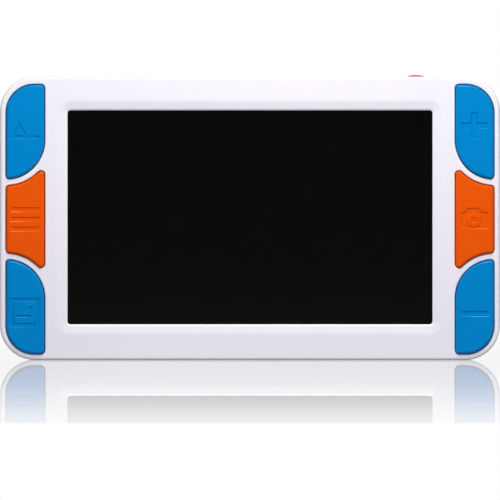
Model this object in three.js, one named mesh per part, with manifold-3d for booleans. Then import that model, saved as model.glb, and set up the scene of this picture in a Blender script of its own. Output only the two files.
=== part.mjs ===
// A hand-held digital video magnifier: a flat case with a 5 inch screen on its front, three large
// keys down each side, a power button on the top edge, and on the back a camera with two lamps,
// a battery door and a U-shaped stand that folds out on two pins.
//
// Millimetres, +Z up. The case stands on its bottom edge with the screen facing -Y.
// The origin is the middle of the footprint: x = 0 and y = 0 at mid width and mid depth, z = 0 on
// the bottom edge.
import * as THREE from "three";
import { mergeVertices } from "three/addons/utils/BufferGeometryUtils.js";
import Module from "manifold-3d";

const wasm = await Module();
wasm.setup();

// ---------------------------------------------------------------- driving dimensions

const CASE = {
  width: 150,
  height: 85,
  corner: 10.5, // corner radius of the outline
  frontY: -11.2, // front face
  backY: 10.9, // back face
  partingY: -2.5, // where the two housings meet
  groove: 0.25, // chamfer on each housing along the parting line
  wall: 1.4,
  frontWall: 1.8,
  backWall: 1.8,
  frontEdge: 1.0, // rounding of the front edge
  backEdge: 3.5, // rounding of the back edge
};
const PART_GAP = 0.02; // between a part and the board that it is soldered to
const MID_Z = CASE.height / 2;
const INNER_TOP_Z = CASE.height - CASE.wall;

const SCREEN = {
  width: 109.5,
  height: 64.2,
  midZ: 42.8,
  corner: 0.9,
  slopeWidth: 2.7,
  slopeDepth: 0.7,
  lip: 0.5,
};
const SCREEN_WINDOW_OVERLAP = 1.8; // how far the window reaches under the housing on each side
const SCREEN_WINDOW_THICKNESS = 1.0;
const SCREEN_WINDOW_Y = CASE.frontY + SCREEN.slopeDepth + SCREEN.lip;

// A key column, measured outwards from the middle of the case.
const KEY = {
  inner: 61.7,
  outer: 73.1,
  top: 82.5,
  cornerX: 64.7, // centre of the corner that follows the case's corner
  cornerZ: 74.1,
  cornerRadius: 8.4,
  archX: 73.2, // centre of the arch between the upper and the middle key
  archZ: 65.9,
  archRadius: 11.5,
  rib: 2.2, // from one key to the next, across the housing's rib
  midZ: 42.2, // the column is the same above and below this height
  smallCorner: 1.0,
  crownY: -12.0,
  crownInset: 0.7,
  crownDepth: 0.4,
  gap: 0.2,
  flangeGrow: 0.7,
  flangeThickness: 1.0,
};
const KEY_CENTRE_X = 67.2;
const KEY_CENTRES_Z = { upper: 68, middle: MID_Z, lower: CASE.height - 68 };

const BOARD = { frontY: -3.0, backY: -1.6, halfWidth: 57, z0: 7, z1: 80, postX: 53, postZ: [13, 70] };
const KEY_BOARD = { frontY: -3.0, backY: -2.0, width: 11.6, z0: 13, postZ: [30.25, 54.75] };
const POST = { radius: 2.0, pinRadius: 0.8, pinGap: 0.1, pinProud: 0.4 };

const STAND = {
  halfWidth: 46,
  innerHalfWidth: 37.4,
  bottomZ: 12,
  innerZ: 22,
  outerCorner: 7,
  innerCorner: 4,
  frontY: 6.9,
  backY: 10.7,
  gap: 0.5,
  hingeY: 8.3,
  hingeZ: 75,
  barrelRadius: 2.4,
  pinRadius: 1.0,
  pinGap: 0.06,
};

const DOOR = { width: 57.4, height: 33.4, midZ: 42, corner: 3, thickness: 1.4, gap: 0.3 };
const BATTERY = { width: 53, height: 29.2, thickness: 6.4, frontY: 2.6 };
const BAY_FLOOR_Y = 2.2;
const BAY_WALL = 1.2;
const BAY_CLEARANCE = 1.1;

const CAMERA = {
  midZ: 67.5,
  windowWidth: 36,
  windowHeight: 12,
  windowThickness: 1.0,
  ledge: 1.5,
  lampX: 12.5,
};
const CAMERA_BOARD = { frontY: 2.2, backY: 3.2, width: 40, height: 11 };
const CAMERA_POST_X = 18.3;

const SCREW = {
  x: 65.5,
  z: 9.5,
  headRadius: 1.9,
  headHeight: 1.4,
  shankRadius: 0.8,
  seatY: 2.0,
  tipY: -6.0,
};
const FOOT = { x: 56, z: 9.5, radius: 4, sink: 0.5, faceY: 12.0 };
const POWER = { x: 49.8, y: 1.1, radius: 2.5, proud: 0.6, gap: 0.2, travel: 0.3 };
const USB = {
  x: 20,
  width: 7.6,
  depth: 2.8,
  length: 5.6,
  mouth: 4.5, // how deep a plug goes in
  sheet: [0.4, 0.4], // the shell's thickness at its sides and faces
  tongue: [1.4, 1.1], // how far in the tongue lies from them
};
const AV_JACK = { x: 33, width: 6.4, depth: 5.0, length: 12, barrelRadius: 2.5, boreRadius: 1.75 };
const CARD_SLOT = { x: -18, width: 13.4, depth: 1.9, length: 15 };
const SOCKET_MOUTH_Z = CASE.height - 0.3;

// ---------------------------------------------------------------- outlines, as lists of [x, z]

const mirrorX = (points) => points.map(([x, z]) => [-x, z]);
const mirrorZ = (points) => points.map(([x, z]) => [x, 2 * KEY.midZ - z]);

// Points on an arc, from angle a0 to a1 in degrees.
function arc(cx, cz, radius, a0, a1, steps) {
  return Array.from({ length: steps + 1 }, (_, i) => {
    const a = THREE.MathUtils.degToRad(a0 + ((a1 - a0) * i) / steps);
    return [cx + radius * Math.cos(a), cz + radius * Math.sin(a)];
  });
}

function roundedRect(width, height, radius, midZ, steps = 6) {
  const x = width / 2 - radius;
  const z = height / 2 - radius;
  return [
    ...arc(x, midZ + z, radius, 0, 90, steps),
    ...arc(-x, midZ + z, radius, 90, 180, steps),
    ...arc(-x, midZ - z, radius, 180, 270, steps),
    ...arc(x, midZ - z, radius, 270, 360, steps),
  ];
}

const caseOutline = (inset) =>
  roundedRect(CASE.width - 2 * inset, CASE.height - 2 * inset, CASE.corner - inset, MID_Z, 6);

// The upper right key: one corner follows the case, the opposite one is a wide arch. A positive
// grow moves the outline outwards all round.
function upperKey(grow) {
  const small = KEY.smallCorner + grow;
  const footX = KEY.outer - KEY.smallCorner;
  const reach = KEY.archRadius - KEY.smallCorner;
  const footZ = KEY.archZ - Math.sqrt(reach ** 2 - (footX - KEY.archX) ** 2);
  const meet = THREE.MathUtils.radToDeg(Math.atan2(footZ - KEY.archZ, footX - KEY.archX)) + 360;
  return [
    ...arc(KEY.cornerX, KEY.cornerZ, KEY.cornerRadius + grow, 0, 90, 7),
    ...arc(KEY.inner + KEY.smallCorner, KEY.top - KEY.smallCorner, small, 90, 180, 3),
    ...arc(KEY.archX, KEY.archZ, KEY.archRadius + grow, 180, meet, 8),
    ...arc(footX, footZ, small, meet, 360, 4),
  ];
}

// The middle right key: straight sides, with a hollow arch above and below that follows its
// neighbours at the rib's width.
function middleKey(grow) {
  const small = KEY.smallCorner + grow;
  const arch = KEY.archRadius + KEY.rib;
  const reach = arch + KEY.smallCorner;
  const corner = (x) => KEY.archZ - Math.sqrt(reach ** 2 - (x - KEY.archX) ** 2);
  const angle = (x) => THREE.MathUtils.radToDeg(Math.atan2(corner(x) - KEY.archZ, x - KEY.archX));
  const outerX = KEY.outer - KEY.smallCorner;
  const innerX = KEY.inner + KEY.smallCorner;
  const upper = [
    ...arc(outerX, corner(outerX), small, 0, 180 + angle(outerX), 3),
    ...arc(KEY.archX, KEY.archZ, arch - grow, angle(outerX), angle(innerX), 7),
    ...arc(innerX, corner(innerX), small, 180 + angle(innerX), 180, 4),
  ];
  return [...upper, ...mirrorZ(upper).reverse()];
}

// The stand's U, open at the top, where its two legs end at topZ.
function standOutline(grow, topZ) {
  const outer = STAND.outerCorner + grow;
  const inner = STAND.innerCorner - grow;
  const x = STAND.halfWidth - STAND.outerCorner;
  const innerX = STAND.innerHalfWidth - STAND.innerCorner;
  return [
    [STAND.halfWidth + grow, topZ],
    [STAND.innerHalfWidth - grow, topZ],
    ...arc(innerX, STAND.innerZ + STAND.innerCorner, inner, 360, 270, 4),
    ...arc(-innerX, STAND.innerZ + STAND.innerCorner, inner, 270, 180, 4),
    [-(STAND.innerHalfWidth - grow), topZ],
    [-(STAND.halfWidth + grow), topZ],
    ...arc(-x, STAND.bottomZ + STAND.outerCorner, outer, 180, 270, 6),
    ...arc(x, STAND.bottomZ + STAND.outerCorner, outer, 270, 360, 6),
  ];
}

// ---------------------------------------------------------------- solids

// A closed geometry as a solid that can be joined and cut.
function toSolid(geometry) {
  geometry.deleteAttribute("normal");
  geometry.deleteAttribute("uv");
  const merged = mergeVertices(geometry, 1e-4);
  return new wasm.Manifold(
    new wasm.Mesh({
      numProp: 3,
      vertProperties: merged.attributes.position.array,
      triVerts: new Uint32Array(merged.index.array),
    }),
  );
}

const shapeOf = (points) => new THREE.Shape(points.map(([x, z]) => new THREE.Vector2(x, z)));

// The outline as a plate from y0 to y1.
function plate(points, y0, y1) {
  const geometry = new THREE.ExtrudeGeometry(shapeOf(points), { depth: y1 - y0, bevelEnabled: false });
  return toSolid(geometry.rotateX(Math.PI / 2).translate(0, y1, 0));
}

// A skin through rings that have the same number of points, each [y, points], from front to back.
function loft(...rings) {
  const count = rings[0][1].length;
  const position = rings.flatMap(([y, points]) => points.flatMap(([x, z]) => [x, y, z]));
  const index = [];
  for (let r = 0; r + 1 < rings.length; r++)
    for (let i = 0; i < count; i++) {
      const a = r * count + i;
      const b = r * count + ((i + 1) % count);
      index.push(a, a + count, b, b, a + count, b + count);
    }
  const last = (rings.length - 1) * count;
  const cap = (points) =>
    THREE.ShapeUtils.triangulateShape(
      points.map(([x, z]) => new THREE.Vector2(x, z)),
      [],
    );
  for (const [a, b, c] of cap(rings[0][1])) index.push(a, b, c);
  for (const [a, b, c] of cap(rings.at(-1)[1])) index.push(last + c, last + b, last + a);
  const geometry = new THREE.BufferGeometry();
  geometry.setAttribute("position", new THREE.Float32BufferAttribute(position, 3));
  return toSolid(geometry.setIndex(index));
}

function box(x0, x1, y0, y1, z0, z1) {
  const geometry = new THREE.BoxGeometry(x1 - x0, y1 - y0, z1 - z0);
  return toSolid(geometry.translate((x0 + x1) / 2, (y0 + y1) / 2, (z0 + z1) / 2));
}

const boxAt = (x, z, width, height, y0, y1) =>
  box(x - width / 2, x + width / 2, y0, y1, z - height / 2, z + height / 2);

// A round bar from one value to another along an axis, through the two coordinates in `at`.
function bar(axis, at, radius, from, to, sides = 20) {
  const geometry = new THREE.CylinderGeometry(radius, radius, to - from, sides);
  const mid = (from + to) / 2;
  if (axis === "x") return toSolid(geometry.rotateZ(Math.PI / 2).translate(mid, at[0], at[1]));
  if (axis === "y") return toSolid(geometry.translate(at[0], mid, at[1]));
  return toSolid(geometry.rotateX(Math.PI / 2).translate(at[0], at[1], mid));
}

// A turned piece: a profile of [radius, height] from the axis back to the axis, stood along +Y or +Z.
function turned(profile, axis, x, yOrZ, sides = 20) {
  const geometry = new THREE.LatheGeometry(
    profile.map(([r, h]) => new THREE.Vector2(r, h)),
    sides,
  );
  if (axis === "y") return toSolid(geometry.translate(x, 0, yOrZ));
  return toSolid(geometry.rotateX(Math.PI / 2).translate(x, yOrZ, 0));
}

const together = (...solids) => solids.reduce((a, b) => a.add(b));

// ---------------------------------------------------------------- meshes

const finish = (color, roughness, metalness = 0) =>
  new THREE.MeshStandardMaterial({ color, roughness, metalness });
const WHITE_ABS = finish(0xeceaf2, 0.35);
const BLUE_KEY = finish(0x0a86cf, 0.4);
const ORANGE_KEY = finish(0xea5a10, 0.4);
const RED_KEY = finish(0xc4343a, 0.4);
const BLACK_GLASS = finish(0x0b0b0c, 0.08);
const BLACK_PLASTIC = finish(0x17171a, 0.5);
const GREEN_BOARD = finish(0x1f5a3a, 0.5);
const STEEL = finish(0xb9bcc0, 0.3, 1);
const RUBBER = finish(0x26272a, 0.85);
const CLEAR = finish(0xdfe7ee, 0.05);
const LAMP = finish(0xf4f1d8, 0.15);
const BATTERY_WRAP = finish(0x3c4652, 0.45);
const AMBER_FILM = finish(0xb4722a, 0.45);

const magnifier = new THREE.Group();

function addPiece(name, solid, material) {
  const made = solid.getMesh();
  const geometry = new THREE.BufferGeometry();
  geometry.setAttribute("position", new THREE.BufferAttribute(made.vertProperties, 3));
  geometry.setIndex(new THREE.BufferAttribute(made.triVerts, 1));
  geometry.computeVertexNormals();
  const mesh = new THREE.Mesh(geometry, material);
  mesh.name = name;
  magnifier.add(mesh);
}

const SIDES = [
  { side: "left", sign: -1 },
  { side: "right", sign: 1 },
];
const CORNERS = SIDES.flatMap(({ side, sign }) => [
  { corner: `top_${side}`, sign, z: (low) => CASE.height - low },
  { corner: `bottom_${side}`, sign, z: (low) => low },
]);

// ---------------------------------------------------------------- front housing

const KEYS = [
  { name: "colour_mode", sign: -1, place: "upper", material: BLUE_KEY },
  { name: "menu", sign: -1, place: "middle", material: ORANGE_KEY },
  { name: "gallery", sign: -1, place: "lower", material: BLUE_KEY },
  { name: "zoom_in", sign: 1, place: "upper", material: BLUE_KEY },
  { name: "freeze", sign: 1, place: "middle", material: ORANGE_KEY },
  { name: "zoom_out", sign: 1, place: "lower", material: BLUE_KEY },
];

function keyOutline({ sign, place }, grow) {
  const right = place === "middle" ? middleKey(grow) : upperKey(grow);
  const placed = place === "lower" ? mirrorZ(right).reverse() : right;
  return sign < 0 ? mirrorX(placed).reverse() : placed;
}

const FILM = 0.3; // thickness of a flexible circuit
const CAVITY_FRONT_Y = CASE.frontY + CASE.frontWall;
const BOSS_TOP_Y = -6.9;

function frontHousing() {
  const { frontY, frontEdge, partingY, groove, wall } = CASE;
  const edge = (turn) => [
    frontY + frontEdge * (1 - Math.sin(turn)),
    caseOutline(frontEdge * (1 - Math.cos(turn))),
  ];
  let body = loft(
    edge(Math.PI / 2),
    edge(Math.PI / 3),
    edge(Math.PI / 6),
    edge(0),
    [partingY - groove, caseOutline(0)],
    [partingY, caseOutline(groove)],
  );
  body = body.subtract(plate(caseOutline(wall), CAVITY_FRONT_Y, 0));

  // The screen's opening, with a shallow slope round it and a pocket behind for the window.
  const { width, height, midZ, corner, slopeWidth, slopeDepth } = SCREEN;
  const lipOutline = roundedRect(width, height, corner, midZ, 6);
  const slopeOutline = (share) =>
    roundedRect(
      width + 2 * slopeWidth * share,
      height + 2 * slopeWidth * share,
      corner + slopeWidth * share,
      midZ,
      6,
    );
  const over = 0.5; // the slope is cut on past the front face
  body = body.subtract(
    loft([frontY - over, slopeOutline(1 + over / slopeDepth)], [frontY + slopeDepth, slopeOutline(0)]),
  );
  body = body.subtract(plate(lipOutline, frontY, 0));
  const pocket = SCREEN_WINDOW_OVERLAP + 0.2;
  const pocketOutline = roundedRect(width + 2 * pocket, height + 2 * pocket, 2, midZ, 3);
  body = body.subtract(plate(pocketOutline, SCREEN_WINDOW_Y, 0));

  for (const key of KEYS) {
    const opening = plate(keyOutline(key, KEY.gap), frontY - 1, CAVITY_FRONT_Y + 0.5);
    body = body.subtract(opening);
  }

  // Screw bosses in the corners, each tied to the walls by two ribs.
  const ribHalf = 0.6;
  for (const { sign, z } of CORNERS) {
    const x = sign * SCREW.x;
    const bossZ = z(SCREW.z);
    const wallX = sign * (CASE.width / 2 - wall / 2);
    const wallZ = z(wall / 2);
    body = together(
      body,
      bar("y", [x, bossZ], 2.4, BOSS_TOP_Y, partingY),
      box(Math.min(x, wallX), Math.max(x, wallX), BOSS_TOP_Y, partingY, bossZ - ribHalf, bossZ + ribHalf),
      box(x - ribHalf, x + ribHalf, BOSS_TOP_Y, partingY, Math.min(bossZ, wallZ), Math.max(bossZ, wallZ)),
    ).subtract(bar("y", [x, bossZ], SCREW.shankRadius + 0.1, BOSS_TOP_Y + 0.5, partingY + 1, 16));
  }
  return body;
}

addPiece("front_housing", frontHousing(), WHITE_ABS);

// ---------------------------------------------------------------- rear housing

const HINGE_POCKET_Y = STAND.hingeY - STAND.barrelRadius - 0.4;
const HINGE_TOP_Z = STAND.hingeZ + STAND.barrelRadius + 0.6;
const RECESS_FLOOR_Y = STAND.frontY - 0.4;
const PIN_INNER_X = 34;
const PIN_OUTER_X = 49.6;
const BAY = {
  width: BATTERY.width + 2 * BAY_CLEARANCE,
  height: BATTERY.height + 2 * 0.5,
};
const DOOR_SEAT_Y = CASE.backY - DOOR.thickness - 0.1;
const CONTACTS = { x: -17, z: 30, width: 9, height: 3 };
const NOTCH = { halfWidth: 9, bottomZ: 8.2, floorY: 8.8 };

const stadium = (width, height, midZ) => roundedRect(width, height, height / 2 - 0.01, midZ, 7);

function rearOutside() {
  const { backY, backEdge, partingY, groove } = CASE;
  const edge = (turn) => [
    backY - backEdge * (1 - Math.sin(turn)),
    caseOutline(backEdge * (1 - Math.cos(turn))),
  ];
  const turns = [0, 1, 2, 3, 4].map((i) => (i * Math.PI) / 8);
  return loft([partingY, caseOutline(groove)], [partingY + groove, caseOutline(0)], ...turns.map(edge));
}

function rearHousing() {
  const { backY, backEdge, backWall, wall, partingY } = CASE;
  const innerBackY = backY - backWall;
  const cavity = loft(
    [partingY - 1, caseOutline(wall)],
    [backY - backEdge, caseOutline(wall)],
    [innerBackY, caseOutline(wall + backEdge - backWall)],
  );
  let body = rearOutside().subtract(cavity);
  const skin = innerBackY + 0.3; // blocks reach this far into the back wall

  // Blocks behind the stand's recess, its hinges, the finger notch, the battery bay and the camera.
  const blockGrow = STAND.gap + wall;
  body = body.add(plate(standOutline(blockGrow, HINGE_TOP_Z), RECESS_FLOOR_Y - wall, skin));
  for (const { sign } of SIDES) {
    const x = (sign * (PIN_INNER_X + PIN_OUTER_X)) / 2;
    const width = PIN_OUTER_X - PIN_INNER_X + 2;
    const z0 = STAND.hingeZ - 4;
    const z1 = HINGE_TOP_Z + wall;
    body = body.add(boxAt(x, (z0 + z1) / 2, width, z1 - z0, HINGE_POCKET_Y - wall, skin));
  }
  const notchHalf = NOTCH.halfWidth + wall;
  const notchLowZ = NOTCH.bottomZ - wall;
  body = body.add(box(-notchHalf, notchHalf, NOTCH.floorY - wall, skin, notchLowZ, STAND.bottomZ));
  const bayFrontY = BAY_FLOOR_Y - BAY_WALL;
  const bayOuter = [BAY.width + 2 * BAY_WALL, BAY.height + 2 * BAY_WALL];
  const doorRim = 1.0;
  body = body.add(boxAt(0, DOOR.midZ, ...bayOuter, bayFrontY, skin));
  body = body.add(
    boxAt(0, DOOR.midZ, DOOR.width + 2 * doorRim, DOOR.height + 2 * doorRim, DOOR_SEAT_Y - doorRim, skin),
  );

  // Screw pillars, and posts for the three circuit boards; a board's post ends in a locating pin.
  for (const { sign, z } of CORNERS)
    body = body.add(bar("y", [sign * SCREW.x, z(SCREW.z)], 3.4, partingY, skin));
  for (const { sign } of SIDES) {
    for (const [board, x] of [
      [BOARD, sign * BOARD.postX],
      [KEY_BOARD, sign * KEY_CENTRE_X],
    ])
      for (const z of board.postZ)
        body = body
          .add(bar("y", [x, z], POST.radius, board.backY, skin, 14))
          .add(bar("y", [x, z], POST.pinRadius, board.frontY - POST.pinProud, board.backY + 0.5, 12));
    body = body.add(bar("y", [sign * CAMERA_POST_X, CAMERA.midZ], 1.2, CAMERA_BOARD.backY, skin, 14));
  }

  // The stand's recess, its hinge pockets, the pins' holes and the notch for a finger.
  body = body.subtract(plate(standOutline(STAND.gap, HINGE_TOP_Z), RECESS_FLOOR_Y, backY + 1));
  const legWidth = STAND.halfWidth - STAND.innerHalfWidth + 2 * STAND.gap;
  const legX = (STAND.halfWidth + STAND.innerHalfWidth) / 2;
  const pocketLowZ = STAND.hingeZ - STAND.barrelRadius - 0.8;
  for (const { sign } of SIDES) {
    const pocketMidZ = (pocketLowZ + HINGE_TOP_Z) / 2;
    const pocketHeight = HINGE_TOP_Z - pocketLowZ;
    body = body.subtract(boxAt(sign * legX, pocketMidZ, legWidth, pocketHeight, HINGE_POCKET_Y, backY + 1));
    const ends = [sign * PIN_INNER_X, sign * PIN_OUTER_X].sort((a, b) => a - b);
    const pinHoleRadius = STAND.pinRadius + STAND.pinGap;
    body = body.subtract(
      bar("x", [STAND.hingeY, STAND.hingeZ], pinHoleRadius, ends[0] - 0.2, ends[1] + 0.2, 24),
    );
  }
  body = body.subtract(
    box(-NOTCH.halfWidth, NOTCH.halfWidth, NOTCH.floorY, backY + 1, NOTCH.bottomZ, STAND.bottomZ),
  );

  // The battery bay: a well, a seat for the door round its mouth, and a slot for the contacts.
  body = body.subtract(boxAt(0, DOOR.midZ, BAY.width, BAY.height, BAY_FLOOR_Y, backY + 1));
  const doorOpening = roundedRect(
    DOOR.width + 2 * DOOR.gap,
    DOOR.height + 2 * DOOR.gap,
    DOOR.corner + DOOR.gap,
    DOOR.midZ,
    4,
  );
  body = body.subtract(plate(doorOpening, DOOR_SEAT_Y, backY + 1));
  body = body.subtract(
    boxAt(
      CONTACTS.x,
      CONTACTS.z,
      CONTACTS.width + 0.6,
      CONTACTS.height + 0.6,
      bayFrontY - 1,
      BAY_FLOOR_Y + 1,
    ),
  );

  // The camera's opening: a seat for its window and a smaller hole through the wall.
  const { windowWidth, windowHeight, windowThickness, ledge, midZ } = CAMERA;
  const seatY = backY - 0.2 - windowThickness - 0.05;
  body = body.subtract(plate(stadium(windowWidth + 0.4, windowHeight + 0.4, midZ), seatY, backY + 1));
  body = body.subtract(
    plate(stadium(windowWidth - 2 * ledge, windowHeight - 2 * ledge, midZ), innerBackY - 1, backY + 1),
  );

  // Wells for the screws and shallow seats for the feet.
  for (const { sign, z } of CORNERS) {
    const at = [sign * SCREW.x, z(SCREW.z)];
    body = body.subtract(bar("y", at, SCREW.headRadius + 0.4, SCREW.seatY, backY + 1));
    body = body.subtract(bar("y", at, SCREW.shankRadius + 0.35, partingY - 1, backY));
    const footAt = [sign * FOOT.x, z(FOOT.z)];
    body = body.subtract(bar("y", footAt, FOOT.radius + 0.2, backY - FOOT.sink, backY + 1));
  }

  // Openings in the top edge: power button, USB socket, AV jack and card slot.
  const low = INNER_TOP_Z - 1;
  const high = CASE.height + 1;
  const socketY = (depth) => [BOARD.backY - 0.3, BOARD.backY + depth + 0.3];
  body = body.subtract(bar("z", [POWER.x, POWER.y], POWER.radius + POWER.gap, low, high, 24));
  body = body.subtract(
    box(USB.x - USB.width / 2 - 0.3, USB.x + USB.width / 2 + 0.3, ...socketY(USB.depth), low, high),
  );
  body = body.subtract(
    bar("z", [AV_JACK.x, BOARD.backY + AV_JACK.depth / 2], AV_JACK.barrelRadius + 0.3, low, high, 24),
  );
  body = body.subtract(
    box(CARD_SLOT.x - 5.8, CARD_SLOT.x + 5.8, BOARD.backY + 0.2, BOARD.backY + 1.5, low, high),
  );
  return body;
}

addPiece("rear_housing", rearHousing(), WHITE_ABS);

// ---------------------------------------------------------------- screen

function addScreen() {
  const { width, height, midZ } = SCREEN;
  const windowOutline = roundedRect(
    width + 2 * SCREEN_WINDOW_OVERLAP,
    height + 2 * SCREEN_WINDOW_OVERLAP,
    1.8,
    midZ,
    3,
  );
  const windowBack = SCREEN_WINDOW_Y + 0.05 + SCREEN_WINDOW_THICKNESS;
  addPiece("screen_window", plate(windowOutline, SCREEN_WINDOW_Y + 0.05, windowBack), BLACK_GLASS);

  const panel = { width: 118, height: 72, front: windowBack + 0.1, back: windowBack + 1.5 };
  const tray = { width: 120, height: 74, rim: 4, thickness: 2.3, hollow: 0.5 };
  addPiece("lcd_panel", boxAt(0, midZ, panel.width, panel.height, panel.front, panel.back), BLACK_GLASS);

  const trayFront = panel.back + 0.1;
  const trayBack = trayFront + tray.thickness;
  const hollowWidth = tray.width - 2 * tray.rim;
  const hollowHeight = tray.height - 2 * tray.rim;
  const shallowTray = boxAt(0, midZ, tray.width, tray.height, trayFront, trayBack).subtract(
    boxAt(0, midZ, hollowWidth, hollowHeight, trayBack - tray.hollow, trayBack + 1),
  );
  addPiece("backlight_tray", shallowTray, STEEL);

  // A thin flexible circuit from the panel's lower edge round to the front of the main board.
  const half = 12;
  const drop = 2; // how far it hangs below the panel before it turns back
  const climb = 8; // how far it runs up the board
  const edgeZ = midZ - panel.height / 2 - 0.1;
  const bendZ = edgeZ - drop;
  const y0 = panel.front + 0.4;
  const y1 = BOARD.frontY - 0.05;
  const flex = box(-half, half, y0, y0 + FILM, bendZ, edgeZ)
    .add(box(-half, half, y0, y1, bendZ - FILM, bendZ))
    .add(box(-half, half, y1 - FILM, y1, bendZ - FILM, edgeZ + climb));
  addPiece("screen_flex", flex, AMBER_FILM);
}

addScreen();

// ---------------------------------------------------------------- keys and their switches

const FLANGE_Y = CAVITY_FRONT_Y + 0.1;
const SWITCH = { size: 6, height: 3.6, plungerRadius: 1.7, plungerGap: 0.15, well: 1.6 };
const PLUNGER_TIP_Y = -7.7;
const PUSHER = { radius: 2, gap: 0.1 };

function keySolid(key) {
  const { crownY, crownInset, crownDepth, flangeGrow, flangeThickness } = KEY;
  const turn = { inset: 0.4, depth: 0.35 }; // where the crown's rounding turns, as shares of its size
  const cap = loft(
    [crownY, keyOutline(key, -crownInset)],
    [crownY + crownDepth * turn.depth, keyOutline(key, -crownInset * turn.inset)],
    [crownY + crownDepth, keyOutline(key, 0)],
    [FLANGE_Y + 0.2, keyOutline(key, 0)],
  );
  const flangeBack = FLANGE_Y + flangeThickness;
  const flange = plate(keyOutline(key, flangeGrow), FLANGE_Y, flangeBack).intersect(
    plate(caseOutline(CASE.wall + 0.15), FLANGE_Y - 1, 0),
  );
  const centre = [key.sign * KEY_CENTRE_X, KEY_CENTRES_Z[key.place]];
  const pusher = bar("y", centre, PUSHER.radius, flangeBack - 0.2, PLUNGER_TIP_Y - PUSHER.gap);
  return together(cap, flange, pusher);
}

for (const key of KEYS) {
  const x = key.sign * KEY_CENTRE_X;
  const z = KEY_CENTRES_Z[key.place];
  const switchTop = KEY_BOARD.frontY - SWITCH.height;
  const hole = SWITCH.plungerRadius + SWITCH.plungerGap;
  addPiece(`key_${key.name}`, keySolid(key), key.material);
  addPiece(
    `switch_${key.name}`,
    boxAt(x, z, SWITCH.size, SWITCH.size, switchTop, KEY_BOARD.frontY - 0.02).subtract(
      bar("y", [x, z], hole, switchTop - 1, switchTop + SWITCH.well, 16),
    ),
    BLACK_PLASTIC,
  );
  addPiece(
    `plunger_${key.name}`,
    bar("y", [x, z], SWITCH.plungerRadius, PLUNGER_TIP_Y, switchTop + 0.9, 16),
    BLACK_PLASTIC,
  );
}

// A hole through a board for a post's locating pin.
const pinHole = (x, z) =>
  bar("y", [x, z], POST.pinRadius + POST.pinGap, BOARD.frontY - 1, BOARD.backY + 1, 12);

for (const { side, sign } of SIDES) {
  const x = sign * KEY_CENTRE_X;
  const height = CASE.height - 2 * KEY_BOARD.z0;
  let board = boxAt(x, MID_Z, KEY_BOARD.width, height, KEY_BOARD.frontY, KEY_BOARD.backY);
  for (const z of KEY_BOARD.postZ) board = board.subtract(pinHole(x, z));
  addPiece(`key_board_${side}`, board, GREEN_BOARD);
  const flexX = sign * (BOARD.halfWidth + 2);
  const flexY = BOARD.frontY - 0.05;
  addPiece(`key_flex_${side}`, boxAt(flexX, MID_Z, 8, 6, flexY - FILM, flexY), AMBER_FILM);
}

// ---------------------------------------------------------------- power button

function addPower() {
  const { x, y, radius, proud } = POWER;
  const topZ = CASE.height + proud;
  const flangeZ = INNER_TOP_Z - 0.2;
  const flangeRadius = radius + 0.8;
  const stemRadius = 1.2;
  const stemZ = flangeZ - 3;
  const profile = [
    [0, stemZ],
    [stemRadius, stemZ],
    [stemRadius, flangeZ - 1],
    [flangeRadius, flangeZ - 1],
    [flangeRadius, flangeZ],
    [radius, flangeZ],
    [radius, topZ - 0.5],
    [radius - 0.3, topZ - 0.2],
    [radius - 1, topZ - 0.05],
    [0, topZ],
  ];
  addPiece("power_button", turned(profile, "z", x, y), RED_KEY);
  const tact = { halfWidth: 3.2, height: 4.3, drop: 1.2, actuatorRadius: 1.1 };
  const topOfBody = stemZ - tact.drop;
  const body = box(
    x - tact.halfWidth,
    x + tact.halfWidth,
    BOARD.backY + PART_GAP,
    y + 2.2,
    topOfBody - tact.height,
    topOfBody,
  );
  const actuator = bar("z", [x, y], tact.actuatorRadius, topOfBody - 0.2, stemZ - POWER.travel - 0.1, 12);
  addPiece("power_switch", body.add(actuator), BLACK_PLASTIC);
}

addPower();

// ---------------------------------------------------------------- main board and its parts

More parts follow.
